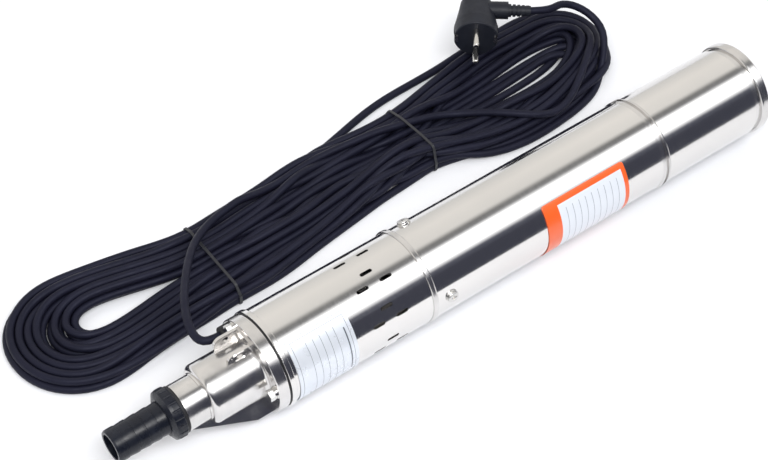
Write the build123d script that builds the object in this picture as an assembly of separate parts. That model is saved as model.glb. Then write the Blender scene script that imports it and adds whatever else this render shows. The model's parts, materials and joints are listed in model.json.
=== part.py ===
from build123d import *
import os
from math import cos, pi, radians, sin, tan

# Submersible well pump, lying on its side as it is stored, with its supply lead in a tied hank.
# Millimetres. +X runs along the pump from the hose tail to the bottom cap, +Z is up, the floor
# is z = 0, and x = 0 is halfway along the pump. Angles round the pump are in degrees, counted
# from +Y towards +Z.

# Driving sizes: lengths along the pump, from the hose tail to the bottom cap
HOSE_TAIL_LENGTH = 42.5
HOSE_COLLAR_LENGTH = 10.5
HOSE_WASHER_THICKNESS = 2.0
NECK_LENGTH = 19.0
HEAD_BODY_LENGTH = 44.5
HEAD_FLANGE_THICKNESS = 9.5
HEAD_GASKET_THICKNESS = 1.0
CASING_COLLAR_WIDTH = 4.5
CASING_LENGTH = 124.0
BEAD_WIDTH = 4.5
MOTOR_TUBE_LENGTH = 223.5
GROOVE_RING_WIDTH = 8.0
TAIL_TUBE_LENGTH = 92.0
CAP_GROOVE_WIDTH = 6.0
CAP_RIM_WIDTH = 8.5

# Driving sizes: round parts of the outside
TUBE_RADIUS = 38.0
TUBE_WALL = 1.2
RIM_RADIUS = 39.5
HOSE_TAIL_RADIUS = 13.0
HOSE_BORE_RADIUS = 10.0
HOSE_COLLAR_RADIUS = 20.0
NECK_RADIUS = 18.4
THREAD_RADIUS = 16.6
HEAD_BODY_RADIUS = 24.0
HEAD_FLANGE_RADIUS = 38.5

# Clearances: between fixed pieces, in a turning fit, and between the screw and its lining
FIT = 0.05
RUNNING = 0.04
SCREW_CLEARANCE = 0.25
HOLE_CLEARANCE = 0.3

# Hose tail
MOUTH_LAND = 8.0
MOUTH_CHAMFER = 1.5
BARB_COUNT = 4
BARB_SPACING = 9.0
BARB_DEPTH = 0.5
COLLAR_FLUTES = 20
COLLAR_CHAMFER = 2.5
FLUTE_RADIUS = 1.1
SPIGOT_LENGTH = 16.0

# Discharge head, with the rope ear on top and the keel below
SHOULDER_ROUND = 5.0
ROOT_ROUND = 3.0
NECK_BEAD = 0.8
HEAD_CHAMBER_RADIUS = 19.5
HEAD_SPIGOT_LENGTH = 8.0
EAR_WALL = 2.2
EAR_LENGTH = 22.0
EAR_TOP = 31.5
EAR_BASE = 17.5
EAR_CORNER = 6.0
EAR_NEAR_Y = -5.0
EAR_FAR_Y = 13.4
EAR_EYE_RADIUS = 2.7
EAR_EYE_DEPTH = 4.9
EYE_RIM_LENGTH = 14.0
EYE_RIM_HEIGHT = 8.4
EYE_RIM_WIDTH = 1.2
EYE_RIM_RISE = 0.7
KEEL_ANGLE = 233.0
KEEL_THICKNESS = 7.0
KEEL_FLAT_LENGTH = 12.0

# The screw pump
SCREW_SECTION_RADIUS = 8.0
SCREW_OFFSET = 3.0
SCREW_PITCH = 24.0
SECTIONS_PER_PITCH = 12
SCREW_NOSE = 4.0
SCREW_SHANK_RADIUS = 6.5
SCREW_SHANK_LENGTH = 9.0
LINING_LENGTH = 68.0
LINING_RADIUS = 21.5
SLEEVE_RADIUS = 23.0
DRIVE_CORE_RADIUS = 2.6
DRIVE_SPAN = 36.0
DRIVE_SOCKET = 8.0
HUB_RADIUS = 9.0
HUB_LENGTH = 14.0
SET_SCREW_RADIUS = 2.0

# Seal bracket and shaft seal
SPIGOT_IN_CASING = 14.0
SPIGOT_IN_MOTOR = 25.0
SEAL_CHAMBER_RADIUS = 14.5
SEAT_RING_RADIUS = 12.0
SEAT_RING_WIDTH = 4.0
SEAL_SHELL_RADIUS = 11.2
SEAL_FACE_RADIUS = 9.4
SEAL_GROOVE_WIDTH = 2.6
SEAL_GROOVE_DEPTH = 1.6
SEAL_GROOVE_INSET = 3.0

# The motor
SHAFT_RADIUS = 6.0
SHAFT_STEP = 7.5
SHAFT_CHAMFER = 0.8
SHAFT_HOLE_RADIUS = 6.6
BEARING_OUTER_RADIUS = 16.0
BEARING_WIDTH = 10.0
BEARING_SHOULDER = 2.5
RACE_HALF_GAP = 1.8
BALL_RADIUS = 2.9
BALL_CIRCLE = 11.0
BALL_COUNT = 7
CAGE_WIDTH = 6.8
CAGE_HALF_WALL = 1.0
STACK_LENGTH = 110.0
STACK_BORE = 19.0
AIR_GAP = 0.35
STACK_SLOTS = 12
SLOT_INNER = 20.2
SLOT_OUTER = 30.0
SLOT_HALF_ANGLE = 9.0
END_RING_LENGTH = 7.0
END_RING_DEPTH = 6.5
WINDING_OVERHANG = 16.0
WINDING_GAP = 1.5
WINDING_SLACK = 0.4

# Lower bracket, capacitor and bottom cap
LOWER_SPIGOT_IN_MOTOR = 20.0
LOWER_SPIGOT_IN_TAIL = 10.0
GROOVE_RIDGE = 1.0
GROOVE_DEPTH = 0.6
LEAD_HOLE_RADIUS = 3.0
LEAD_HOLE_CIRCLE = 26.0
CAPACITOR_RADIUS = 20.0
CAPACITOR_LENGTH = 66.0
CUSHION_WIDTH = 9.0
CUSHION_INSET = 6.0
CAP_SPIGOT = 9.0
CAP_SKIN = 4.0
CAP_DISH = 1.2
CAP_BORE_RADIUS = 30.0
CAP_GROOVE_DEPTH = 1.2

# Fasteners
BOLT_CIRCLE = 32.5
BOLT_RADIUS = 2.5
BOLT_HEAD_WIDTH = 8.0
BOLT_HEAD_HEIGHT = 4.0
BOLT_ANGLES = (53.0, 173.0, 293.0)
PLAIN_WASHER = 1.0
PLAIN_WASHER_RADIUS = 5.0
SPRING_WASHER = 1.3
SPRING_WASHER_RADIUS = 4.3
SIDE_SCREW_STANDOFF = 12.5
SIDE_SCREW_RADIUS = 2.5
SIDE_SCREW_LENGTH = 9.0
SIDE_SCREW_HEAD_RADIUS = 4.6
SIDE_SCREW_HEAD_HEIGHT = 2.0
CROSS_LENGTH = 4.6
CROSS_WIDTH = 1.1
CROSS_DEPTH = 1.1
SIDE_WASHER_THICKNESS = 0.6
SIDE_WASHER_RADIUS = 5.4

# Supply lead and its gland
CABLE_RADIUS = 3.25
CABLE_ANGLE = 29.0
CABLE_CIRCLE = 30.5
GLAND_RADIUS = 6.4
GLAND_STEM_RADIUS = 4.4
GLAND_STANDOFF = 7.5
LEAD_START = 3.0

# The intake slots
SLOT_LENGTH = 10.5
SLOT_WIDTH = 3.0
SLOT_COUNT = 8
PAIR_SLOT_ANGLE = 66.5
SINGLE_SLOT_ANGLE = 95.5
SINGLE_SLOT_FROM_END = 37.5
PAIR_SLOT_SPACING = 20.8

# The tied hank
HANK_TOP = 21.0
HANK_BOTTOM = 1.2
HANK_CORNER = 6.0
HANK_CHAMFER = 3.0
TIE_WIDTH = 2.4
TIE_THICKNESS = 0.9
TIE_GAP = 0.2

# The plug; its place is the centre of its face, and it is turned about the upright
PLUG_FACE_CENTRE = (162.0, 171.0, 40.0)
PLUG_TURN = -128.3
PLUG_FACE_RADIUS = 18.75
PLUG_FACE_EDGE = 1.2
PLUG_SHOULDER = 12.0
PLUG_DEPTH = 34.0
PLUG_BACK_WIDTH = 27.0
PLUG_BACK_HEIGHT = 30.0
PLUG_BACK_CORNER = 9.0
PLUG_BACK_LIFT = 1.5
PLUG_SLEEVE_RADIUS = 7.5
PIN_RADIUS = 2.4
PIN_LENGTH = 19.0
PIN_ROOT = 12.0
PIN_DOME = 1.4
PIN_SPACING = 19.0
CLIP_WIDTH = 6.5
CLIP_THICKNESS = 1.0
CLIP_NOTCH_WIDTH = 9.0
CLIP_NOTCH_DEPTH = 2.0
CLIP_NOTCH_LENGTH = 9.0
CLIP_HOOK = 2.0
RELIEF_START = 27.0
RELIEF_LENGTH = 19.0
RELIEF_LIFT = 8.0
RELIEF_BACK = 27.0
RELIEF_RADIUS = 5.6
RELIEF_TAPER = 1.2
RELIEF_NECK = 4.3
RELIEF_RIBS = 5
RIB_SHARE = 0.62

# Stations along the pump, worked out from the lengths
PUMP_LENGTH = (
    HOSE_TAIL_LENGTH + HOSE_COLLAR_LENGTH + HOSE_WASHER_THICKNESS + NECK_LENGTH
    + HEAD_BODY_LENGTH + HEAD_FLANGE_THICKNESS + HEAD_GASKET_THICKNESS + CASING_COLLAR_WIDTH
    + CASING_LENGTH + BEAD_WIDTH + MOTOR_TUBE_LENGTH + GROOVE_RING_WIDTH + TAIL_TUBE_LENGTH
    + CAP_GROOVE_WIDTH + CAP_RIM_WIDTH
)
MOUTH_X = -PUMP_LENGTH / 2
COLLAR_X = MOUTH_X + HOSE_TAIL_LENGTH
WASHER_X = COLLAR_X + HOSE_COLLAR_LENGTH
NECK_X = WASHER_X + HOSE_WASHER_THICKNESS
BODY_X = NECK_X + NECK_LENGTH
FLANGE_X = BODY_X + HEAD_BODY_LENGTH
GASKET_X = FLANGE_X + HEAD_FLANGE_THICKNESS
CASING_COLLAR_X = GASKET_X + HEAD_GASKET_THICKNESS
CASING_X = CASING_COLLAR_X + CASING_COLLAR_WIDTH
BEAD_X = CASING_X + CASING_LENGTH
MOTOR_X = BEAD_X + BEAD_WIDTH
GROOVE_X = MOTOR_X + MOTOR_TUBE_LENGTH
TAIL_X = GROOVE_X + GROOVE_RING_WIDTH
CAP_GROOVE_X = TAIL_X + TAIL_TUBE_LENGTH
RIM_X = CAP_GROOVE_X + CAP_GROOVE_WIDTH
END_X = RIM_X + CAP_RIM_WIDTH

# Stations inside the pump
SEAT_X = FLANGE_X - 0.5
LINING_X = SEAT_X + LINING_LENGTH
SCREW_START_X = SEAT_X - SCREW_NOSE
SCREW_END_X = LINING_X + 2.0
SHANK_END_X = SCREW_END_X + SCREW_SHANK_LENGTH
HUB_X = SHANK_END_X + DRIVE_SPAN
SHAFT_START_X = HUB_X + DRIVE_SOCKET + FIT
HEAD_SPIGOT_END_X = CASING_COLLAR_X + HEAD_SPIGOT_LENGTH
BRACKET_X = BEAD_X - SPIGOT_IN_CASING
BRACKET_END_X = MOTOR_X + SPIGOT_IN_MOTOR
BOLT_END_X = BEAD_X - 7.0
WEB_X = MOTOR_X + 1.0
SEAT_RING_X = WEB_X - SEAT_RING_WIDTH
UPPER_BEARING_X = MOTOR_X + 12.0
LOWER_BEARING_X = GROOVE_X - 17.5
SHAFT_END_X = LOWER_BEARING_X + BEARING_WIDTH
STACK_X = (UPPER_BEARING_X + BEARING_WIDTH + LOWER_BEARING_X - STACK_LENGTH) / 2
STACK_END_X = STACK_X + STACK_LENGTH
ROTOR_X = STACK_X - 1.0
ROTOR_END_X = STACK_END_X + 1.0
CAPACITOR_X = TAIL_X + LOWER_SPIGOT_IN_TAIL + 2.0
CASING_GROOVE_X = BEAD_X - SEAL_GROOVE_INSET - SEAL_GROOVE_WIDTH
MOTOR_GROOVE_X = MOTOR_X + SEAL_GROOVE_INSET
LOWER_GROOVE_X = GROOVE_X - SEAL_GROOVE_INSET - SEAL_GROOVE_WIDTH
TAIL_GROOVE_X = TAIL_X + SEAL_GROOVE_INSET
CAP_SEAL_X = CAP_GROOVE_X - SEAL_GROOVE_INSET - SEAL_GROOVE_WIDTH

AXIS_HEIGHT = RIM_RADIUS
TUBE_BORE = TUBE_RADIUS - TUBE_WALL
SPIGOT_RADIUS = TUBE_BORE - FIT
ROTOR_RADIUS = STACK_BORE - AIR_GAP
OVERSHOOT = 1.0
FROM_BELOW = (Align.CENTER, Align.CENTER, Align.MIN)

PARTS = {}


def add(name, shape, lift=True):
    """Keep a finished piece under its name; pump pieces are lifted from the X axis to their height."""
    PARTS[name] = Pos(0, 0, AXIS_HEIGHT) * shape if lift else shape


def turned(*points):
    """Revolve a closed half section, given as (x, radius) points, round the pump's axis."""
    return revolve(make_face(Polyline(*points, close=True)), Axis.X)


def ring(start, end, outer, inner=0.0):
    """A plain ring or disc between two stations."""
    body = Pos((start + end) / 2, 0, 0) * Rot(0, 90, 0) * Cylinder(outer, end - start)
    if inner:
        body -= Pos((start + end) / 2, 0, 0) * Rot(0, 90, 0) * Cylinder(inner, end - start + 2)
    return body


def circles_of(body, radius):
    """The round edges of a body that have this radius."""
    return [e for e in body.edges().filter_by(GeomType.CIRCLE) if abs(e.radius - radius) < 0.01]


def circles_at(body, radius, x):
    """The round edges of a body that have this radius, at one station."""
    return [e for e in circles_of(body, radius) if abs(e.center().X - x) < 0.01]


def round_bar(start, end, radius, angle, circle):
    """A round bar parallel to the pump, on a circle round its axis."""
    place = Pos((start + end) / 2, circle * cos(radians(angle)), circle * sin(radians(angle)))
    return place * Rot(0, 90, 0) * Cylinder(radius, end - start)


def radial_place(x, angle, distance):
    """A place on a circle round the pump, whose Z axis points away from the pump's axis."""
    return Pos(x, 0, 0) * Rot(angle - 90, 0, 0) * Pos(0, 0, distance)


# Hose tail, washer and discharge head


def hose_tail():
    """Barbed tail with a fluted collar and the screwed spigot that goes into the neck."""
    profile = [(MOUTH_X, HOSE_BORE_RADIUS), (MOUTH_X, HOSE_TAIL_RADIUS - 0.8),
               (MOUTH_X + MOUTH_CHAMFER, HOSE_TAIL_RADIUS), (MOUTH_X + MOUTH_LAND, HOSE_TAIL_RADIUS)]
    for k in range(BARB_COUNT):
        step = MOUTH_X + MOUTH_LAND + k * BARB_SPACING
        profile += [(step + 0.2, HOSE_TAIL_RADIUS - BARB_DEPTH),
                    (step + BARB_SPACING - 2.0, HOSE_TAIL_RADIUS),
                    (step + BARB_SPACING - 0.2, HOSE_TAIL_RADIUS)]
    spigot_end = NECK_X + SPIGOT_LENGTH
    profile += [
        (COLLAR_X, HOSE_TAIL_RADIUS - BARB_DEPTH),
        (COLLAR_X, HOSE_COLLAR_RADIUS - 2 * COLLAR_CHAMFER),
        (COLLAR_X + COLLAR_CHAMFER, HOSE_COLLAR_RADIUS - 0.6),
        (COLLAR_X + 2 * COLLAR_CHAMFER, HOSE_COLLAR_RADIUS),
        (WASHER_X - 1.0, HOSE_COLLAR_RADIUS),
        (WASHER_X, HOSE_COLLAR_RADIUS - 1.0),
        (WASHER_X, THREAD_RADIUS - FIT),
        (spigot_end - 1.0, THREAD_RADIUS - FIT),
        (spigot_end, THREAD_RADIUS - 1.0),
        (spigot_end, HOSE_BORE_RADIUS),
    ]
    body = turned(*profile)
    for k in range(COLLAR_FLUTES):
        angle = k * 360 / COLLAR_FLUTES
        body -= round_bar(COLLAR_X - 1, WASHER_X + 1, FLUTE_RADIUS, angle, HOSE_COLLAR_RADIUS + 0.5)
    return body


def hose_washer():
    """Flat rubber washer between the hose tail's collar and the neck."""
    return ring(WASHER_X, NECK_X, HOSE_COLLAR_RADIUS - 1.2, THREAD_RADIUS + FIT)


def rope_ear():
    """The cast box beside the lead: two upright walls with a rope eye, and a wall between them."""
    x_mid = FLANGE_X - EAR_LENGTH / 2 + 1
    height = EAR_TOP - EAR_BASE
    z_mid = (EAR_TOP + EAR_BASE) / 2
    width = EAR_FAR_Y - EAR_NEAR_Y + EAR_WALL
    ear = Pos(FLANGE_X, EAR_NEAR_Y + width / 2, z_mid) * Box(EAR_WALL, width, height)
    for y in (EAR_NEAR_Y, EAR_FAR_Y):
        wall = Pos(x_mid, y + EAR_WALL / 2, z_mid) * Box(EAR_LENGTH, EAR_WALL, height)
        corner = wall.edges().filter_by(Axis.Y).group_by(Axis.Z)[-1].sort_by(Axis.X)[0]
        ear += fillet(corner, EAR_CORNER)
    rim = SlotOverall(EYE_RIM_LENGTH, EYE_RIM_HEIGHT)
    rim -= SlotOverall(EYE_RIM_LENGTH - 2 * EYE_RIM_WIDTH, EYE_RIM_HEIGHT - 2 * EYE_RIM_WIDTH)
    eye_place = Pos(FLANGE_X - EAR_LENGTH / 2, EAR_NEAR_Y, EAR_TOP - EAR_EYE_DEPTH) * Rot(90, 0, 0)
    eye = Cylinder(EAR_EYE_RADIUS, 3 * width)
    return ear + eye_place * extrude(rim, EYE_RIM_RISE) - eye_place * eye


def keel():
    """The tapered rib under the head, from the neck out to the flange."""
    rim = HEAD_FLANGE_RADIUS - 1.0
    root = NECK_RADIUS - 1.0
    rise = make_face(Polyline((NECK_X + 1, root), (FLANGE_X - KEEL_FLAT_LENGTH, rim), (FLANGE_X + 2, rim),
                              (FLANGE_X + 2, root), close=True))
    return Rot(KEEL_ANGLE, 0, 0) * extrude(rise, KEEL_THICKNESS / 2, both=True)


def discharge_head():
    """Cast head: screwed neck, round body, flange, rope ear, keel, and holes for bolts and lead."""
    outside = turned(
        (NECK_X, 0), (NECK_X, NECK_RADIUS - 0.6), (NECK_X + 0.6, NECK_RADIUS), (BODY_X, NECK_RADIUS),
        (BODY_X, HEAD_BODY_RADIUS), (FLANGE_X, HEAD_BODY_RADIUS), (FLANGE_X, HEAD_FLANGE_RADIUS),
        (GASKET_X, HEAD_FLANGE_RADIUS), (GASKET_X, SPIGOT_RADIUS), (HEAD_SPIGOT_END_X, SPIGOT_RADIUS),
        (HEAD_SPIGOT_END_X, 0))
    outside = fillet(circles_at(outside, HEAD_BODY_RADIUS, BODY_X), SHOULDER_ROUND)
    outside = fillet(circles_at(outside, HEAD_BODY_RADIUS, FLANGE_X), ROOT_ROUND)
    outside = fillet(circles_of(outside, HEAD_FLANGE_RADIUS), 1.0)
    bead = ring(BODY_X - 2 * NECK_BEAD, BODY_X + 0.5, NECK_RADIUS + NECK_BEAD, NECK_RADIUS - 0.5)
    head = outside + bead + rope_ear() + keel()
    head -= turned(
        (NECK_X - 1, 0), (NECK_X - 1, THREAD_RADIUS), (NECK_X + SPIGOT_LENGTH + 1, THREAD_RADIUS),
        (NECK_X + SPIGOT_LENGTH + 3, HEAD_CHAMBER_RADIUS - 1.5), (BODY_X + 6, HEAD_CHAMBER_RADIUS),
        (SEAT_X, HEAD_CHAMBER_RADIUS), (SEAT_X, SLEEVE_RADIUS + FIT),
        (HEAD_SPIGOT_END_X + 1, SLEEVE_RADIUS + FIT), (HEAD_SPIGOT_END_X + 1, 0))
    end = HEAD_SPIGOT_END_X + OVERSHOOT
    for angle in BOLT_ANGLES:
        head -= round_bar(FLANGE_X - 9, end, BOLT_RADIUS + HOLE_CLEARANCE, angle, BOLT_CIRCLE)
        head -= round_bar(FLANGE_X - 10, FLANGE_X, PLAIN_WASHER_RADIUS + 0.4, angle, BOLT_CIRCLE)
    head -= round_bar(FLANGE_X - 1, end, GLAND_STEM_RADIUS + FIT, CABLE_ANGLE, CABLE_CIRCLE)
    return head - round_bar(FLANGE_X - 12, FLANGE_X, GLAND_RADIUS + HOLE_CLEARANCE, CABLE_ANGLE, CABLE_CIRCLE)


def head_gasket():
    """Flat gasket between the head's flange and the casing collar."""
    return ring(GASKET_X, CASING_COLLAR_X, HEAD_FLANGE_RADIUS, SPIGOT_RADIUS + 2 * FIT)


# Through bolts, washers and the lead's gland


def through_bolts():
    """Three long hexagon bolts that clamp the head and casing to the seal bracket."""
    bolts = []
    under_head = FLANGE_X - PLAIN_WASHER - SPRING_WASHER
    hexagon = extrude(RegularPolygon(BOLT_HEAD_WIDTH / 2, 6, major_radius=False), BOLT_HEAD_HEIGHT)
    for angle in BOLT_ANGLES:
        shank = round_bar(under_head, BOLT_END_X, BOLT_RADIUS, angle, BOLT_CIRCLE)
        place = Pos(under_head - BOLT_HEAD_HEIGHT, BOLT_CIRCLE * cos(radians(angle)),
                    BOLT_CIRCLE * sin(radians(angle)))
        bolts.append(shank + place * Rot(0, 90, 0) * hexagon)
    return Compound(bolts)


def bolt_washers():
    """A plain and a spring washer under each bolt head."""
    washers = []
    for angle in BOLT_ANGLES:
        hole = round_bar(FLANGE_X - 10, FLANGE_X + 1, BOLT_RADIUS + FIT, angle, BOLT_CIRCLE)
        middle = FLANGE_X - PLAIN_WASHER
        plain = round_bar(middle, FLANGE_X, PLAIN_WASHER_RADIUS, angle, BOLT_CIRCLE)
        spring = round_bar(middle - SPRING_WASHER, middle, SPRING_WASHER_RADIUS, angle, BOLT_CIRCLE)
        washers += [plain - hole, spring - hole]
    return Compound(washers)


def cable_gland():
    """Rubber grommet that grips the lead where it enters the head."""
    front = FLANGE_X - GLAND_STANDOFF
    collar = round_bar(front, FLANGE_X, GLAND_RADIUS, CABLE_ANGLE, CABLE_CIRCLE)
    collar = fillet(collar.edges().filter_by(GeomType.CIRCLE).sort_by(Axis.X)[0], 1.4)
    stem = round_bar(FLANGE_X, GASKET_X, GLAND_STEM_RADIUS, CABLE_ANGLE, CABLE_CIRCLE)
    return collar + stem - round_bar(front - 1, GASKET_X + 1, CABLE_RADIUS + FIT, CABLE_ANGLE, CABLE_CIRCLE)


def inner_cable():
    """The lead inside the casing, from the gland to the motor side of the seal bracket."""
    start = FLANGE_X - GLAND_STANDOFF + LEAD_START
    return round_bar(start, BRACKET_END_X + 4, CABLE_RADIUS, CABLE_ANGLE, CABLE_CIRCLE)


# Casing with its intake slots

def casing_collar():
    """The rolled end ring of the casing."""
    body = ring(CASING_COLLAR_X, CASING_X, RIM_RADIUS, TUBE_RADIUS + FIT)
    return fillet(circles_of(body, RIM_RADIUS), 0.8)


def intake_slot(x, angle):
    """A cutter for one round-ended slot."""
    return radial_place(x, angle, TUBE_BORE - 4) * extrude(SlotOverall(SLOT_LENGTH, SLOT_WIDTH), 10)


def casing_tube():
    """Polished tube round the screw pump, with staggered intake slots near its motor end."""
    body = ring(CASING_COLLAR_X, BEAD_X, TUBE_RADIUS, TUBE_BORE)
    single_x = BEAD_X - SINGLE_SLOT_FROM_END
    for k in range(SLOT_COUNT):
        turn = k * 360 / SLOT_COUNT
        body -= intake_slot(single_x, SINGLE_SLOT_ANGLE + turn)
        for side in (-1, 1):
            body -= intake_slot(single_x + side * PAIR_SLOT_SPACING / 2, PAIR_SLOT_ANGLE + turn)
    return body


# Screw pump: steel sleeve, rubber lining, screw and flexible drive core


def pump_sleeve():
    """Steel sleeve that carries the rubber lining."""
    return ring(SEAT_X, LINING_X, SLEEVE_RADIUS, LINING_RADIUS + FIT)


def rubber_lining():
    """Lining with the two-start cavity: a straight slot that turns once in two screw pitches."""
    slot = SlotCenterToCenter(4 * SCREW_OFFSET, 2 * (SCREW_SECTION_RADIUS + SCREW_CLEARANCE), 90)
    start, end = SEAT_X - 1, LINING_X + 1
    steps = round((end - start) / SCREW_PITCH * SECTIONS_PER_PITCH)
    sections = []
    for k in range(steps + 1):
        x = start + (end - start) * k / steps
        turn = 180 * (x - SEAT_X) / SCREW_PITCH
        sections.append(Pos(x, 0, 0) * Rot(turn, 0, 0) * Rot(0, 90, 0) * slot)
    return ring(SEAT_X, LINING_X, LINING_RADIUS) - loft(sections)


def screw_rotor():
    """Single-start screw: a circle off the screw's own axis, carried round once in each pitch."""
    steps = round((SCREW_END_X - SCREW_START_X) / SCREW_PITCH * SECTIONS_PER_PITCH)
    sections = []
    for k in range(steps + 1):
        x = SCREW_START_X + (SCREW_END_X - SCREW_START_X) * k / steps
        turn = 2 * pi * (x - SEAT_X) / SCREW_PITCH
        place = Pos(x, SCREW_OFFSET * cos(turn), SCREW_OFFSET * sin(turn))
        sections.append(place * Rot(0, 90, 0) * Circle(SCREW_SECTION_RADIUS))
    shank = ring(SCREW_END_X, SHANK_END_X, SCREW_SHANK_RADIUS)
    socket = ring(SHANK_END_X - DRIVE_SOCKET, SHANK_END_X + 1, DRIVE_CORE_RADIUS + RUNNING)
    return Pos(0, SCREW_OFFSET, 0) * (loft(sections) + shank - socket)


def drive_core():
    """Wound spring-steel core between the screw and the motor hub, bent in two equal arcs."""
    bend = (DRIVE_SPAN ** 2 + SCREW_OFFSET ** 2) / (4 * SCREW_OFFSET)
    middle = (SHANK_END_X + HUB_X) / 2
    screw_end = Line((SHANK_END_X - DRIVE_SOCKET + 0.5, SCREW_OFFSET), (SHANK_END_X, SCREW_OFFSET))
    first = TangentArc((SHANK_END_X, SCREW_OFFSET), (middle, SCREW_OFFSET / 2), tangent=(1, 0))
    second = TangentArc((HUB_X, 0), (middle, SCREW_OFFSET / 2), tangent=(-1, 0))
    hub_end = Line((HUB_X, 0), (HUB_X + DRIVE_SOCKET - 0.5, 0))
    path = Wire([screw_end.edge(), first.edge(), second.edge(), hub_end.edge()])
    start = Plane(origin=path @ 0, z_dir=path % 0)
    print("drive core bend radius", round(bend, 1))
    return sweep(start * Circle(DRIVE_CORE_RADIUS), path)


def drive_hub():
    """Hub on the motor shaft, with the socket for the drive core and the hole of its set screw."""
    body = ring(HUB_X, HUB_X + HUB_LENGTH, HUB_RADIUS)
    body -= ring(HUB_X - 1, HUB_X + DRIVE_SOCKET, DRIVE_CORE_RADIUS + RUNNING)
    body -= ring(HUB_X + DRIVE_SOCKET, HUB_X + HUB_LENGTH + 1, SHAFT_RADIUS + FIT)
    return body - set_screw_place() * Cylinder(SET_SCREW_RADIUS + FIT, HUB_RADIUS, align=FROM_BELOW)


def set_screw_place():
    """Where the hub's set screw stands on the shaft, with Z pointing outwards."""
    return radial_place(HUB_X + HUB_LENGTH - SET_SCREW_RADIUS - 1.0, 90, SHAFT_RADIUS + 0.02)


def set_screw():
    """Set screw that fixes the hub to the motor shaft."""
    return set_screw_place() * Cylinder(SET_SCREW_RADIUS, HUB_RADIUS - SHAFT_RADIUS - 0.4, align=FROM_BELOW)


# Motor: seal bracket, seal, bearings, shaft, cores and windings

def seal_groove(x):
    """A cutter for the groove of one sealing ring, in a spigot inside a tube."""
    return ring(x, x + SEAL_GROOVE_WIDTH, SPIGOT_RADIUS + 2, SPIGOT_RADIUS - SEAL_GROOVE_DEPTH)


def side_screw_place(angle):
    """The seat of one side screw on the motor tube, with Z pointing outwards."""
    return radial_place(MOTOR_X + SIDE_SCREW_STANDOFF, angle, TUBE_RADIUS)


def seal_bracket():
    """Cast bracket that joins the casing to the motor: bead, two spigots, seal chamber, bearing pocket."""
    body = turned(
        (BRACKET_X, 0), (BRACKET_X, SPIGOT_RADIUS), (BEAD_X, SPIGOT_RADIUS), (BEAD_X, RIM_RADIUS),
        (MOTOR_X, RIM_RADIUS), (MOTOR_X, SPIGOT_RADIUS), (BRACKET_END_X, SPIGOT_RADIUS), (BRACKET_END_X, 0))
    body = fillet(circles_of(body, RIM_RADIUS), 1.3)
    shoulder_x = UPPER_BEARING_X - 1
    shoulder = BEARING_OUTER_RADIUS - BEARING_SHOULDER
    pocket = BEARING_OUTER_RADIUS + FIT
    seat = SEAT_RING_RADIUS + FIT
    body -= turned(
        (BRACKET_X - 1, 0), (BRACKET_X - 1, SEAL_CHAMBER_RADIUS), (SEAT_RING_X, SEAL_CHAMBER_RADIUS),
        (SEAT_RING_X, seat), (WEB_X, seat), (WEB_X, SHAFT_HOLE_RADIUS), (shoulder_x, SHAFT_HOLE_RADIUS),
        (shoulder_x, shoulder), (UPPER_BEARING_X, shoulder), (UPPER_BEARING_X, pocket),
        (BRACKET_END_X + 1, pocket), (BRACKET_END_X + 1, 0))
    body -= seal_groove(CASING_GROOVE_X) + seal_groove(MOTOR_GROOVE_X)
    body -= round_bar(BRACKET_X - 1, BRACKET_END_X + 1, CABLE_RADIUS + FIT, CABLE_ANGLE, CABLE_CIRCLE)
    for angle in BOLT_ANGLES:
        body -= round_bar(BRACKET_X - 1, BOLT_END_X + 0.5, BOLT_RADIUS + FIT, angle, BOLT_CIRCLE)
        hole = Cylinder(SIDE_SCREW_RADIUS + FIT, 2 * SIDE_SCREW_LENGTH + 2)
        body -= side_screw_place(angle) * hole
    return body


def seal_seat():
    """Fixed ceramic ring of the shaft seal."""
    return ring(SEAT_RING_X + FIT, WEB_X, SEAT_RING_RADIUS, SHAFT_HOLE_RADIUS + 0.5)


def seal_head():
    """Turning half of the shaft seal: carbon face, shell and spring collar on the shaft."""
    start = HUB_X + HUB_LENGTH + 0.5
    return turned(
        (start, SHAFT_RADIUS + FIT), (start, SEAL_FACE_RADIUS), (start + 2.0, SEAL_FACE_RADIUS),
        (start + 2.0, SEAL_SHELL_RADIUS), (SEAT_RING_X - 2.5, SEAL_SHELL_RADIUS),
        (SEAT_RING_X - 2.5, SEAL_FACE_RADIUS), (SEAT_RING_X, SEAL_FACE_RADIUS),
        (SEAT_RING_X, SHAFT_RADIUS + FIT))


def bearing_race(start, inner, outer):
    """One race of a ball bearing, with the ball groove cut into the side that faces the balls."""
    groove = Pos(start + BEARING_WIDTH / 2, 0, 0) * Rot(0, 90, 0) * Torus(BALL_CIRCLE, BALL_RADIUS + RUNNING)
    return ring(start, start + BEARING_WIDTH, outer, inner) - groove


def inner_race(start):
    """The race that turns with the shaft."""
    return bearing_race(start, SHAFT_RADIUS + FIT, BALL_CIRCLE - RACE_HALF_GAP)


def outer_race(start):
    """The race that sits in its bracket."""
    return bearing_race(start, BALL_CIRCLE + RACE_HALF_GAP, BEARING_OUTER_RADIUS)


def ball_place(start, k):
    """The centre of one ball, turned so that its Y axis points outwards."""
    return Pos(start + BEARING_WIDTH / 2, 0, 0) * Rot(360 * k / BALL_COUNT, 0, 0) * Pos(0, BALL_CIRCLE, 0)


def bearing_balls(start):
    """The balls of one bearing, as separate solids in one node."""
    return Compound([ball_place(start, k) * Sphere(BALL_RADIUS) for k in range(BALL_COUNT)])


def ball_cage(start):
    """The cage that keeps the balls of one bearing apart."""
    middle = start + BEARING_WIDTH / 2
    cage = ring(middle - CAGE_WIDTH / 2, middle + CAGE_WIDTH / 2, BALL_CIRCLE + CAGE_HALF_WALL,
                BALL_CIRCLE - CAGE_HALF_WALL)
    for k in range(BALL_COUNT):
        cage -= ball_place(start, k) * Rot(90, 0, 0) * Cylinder(BALL_RADIUS + RUNNING, 5 * CAGE_HALF_WALL)
    return cage


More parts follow.
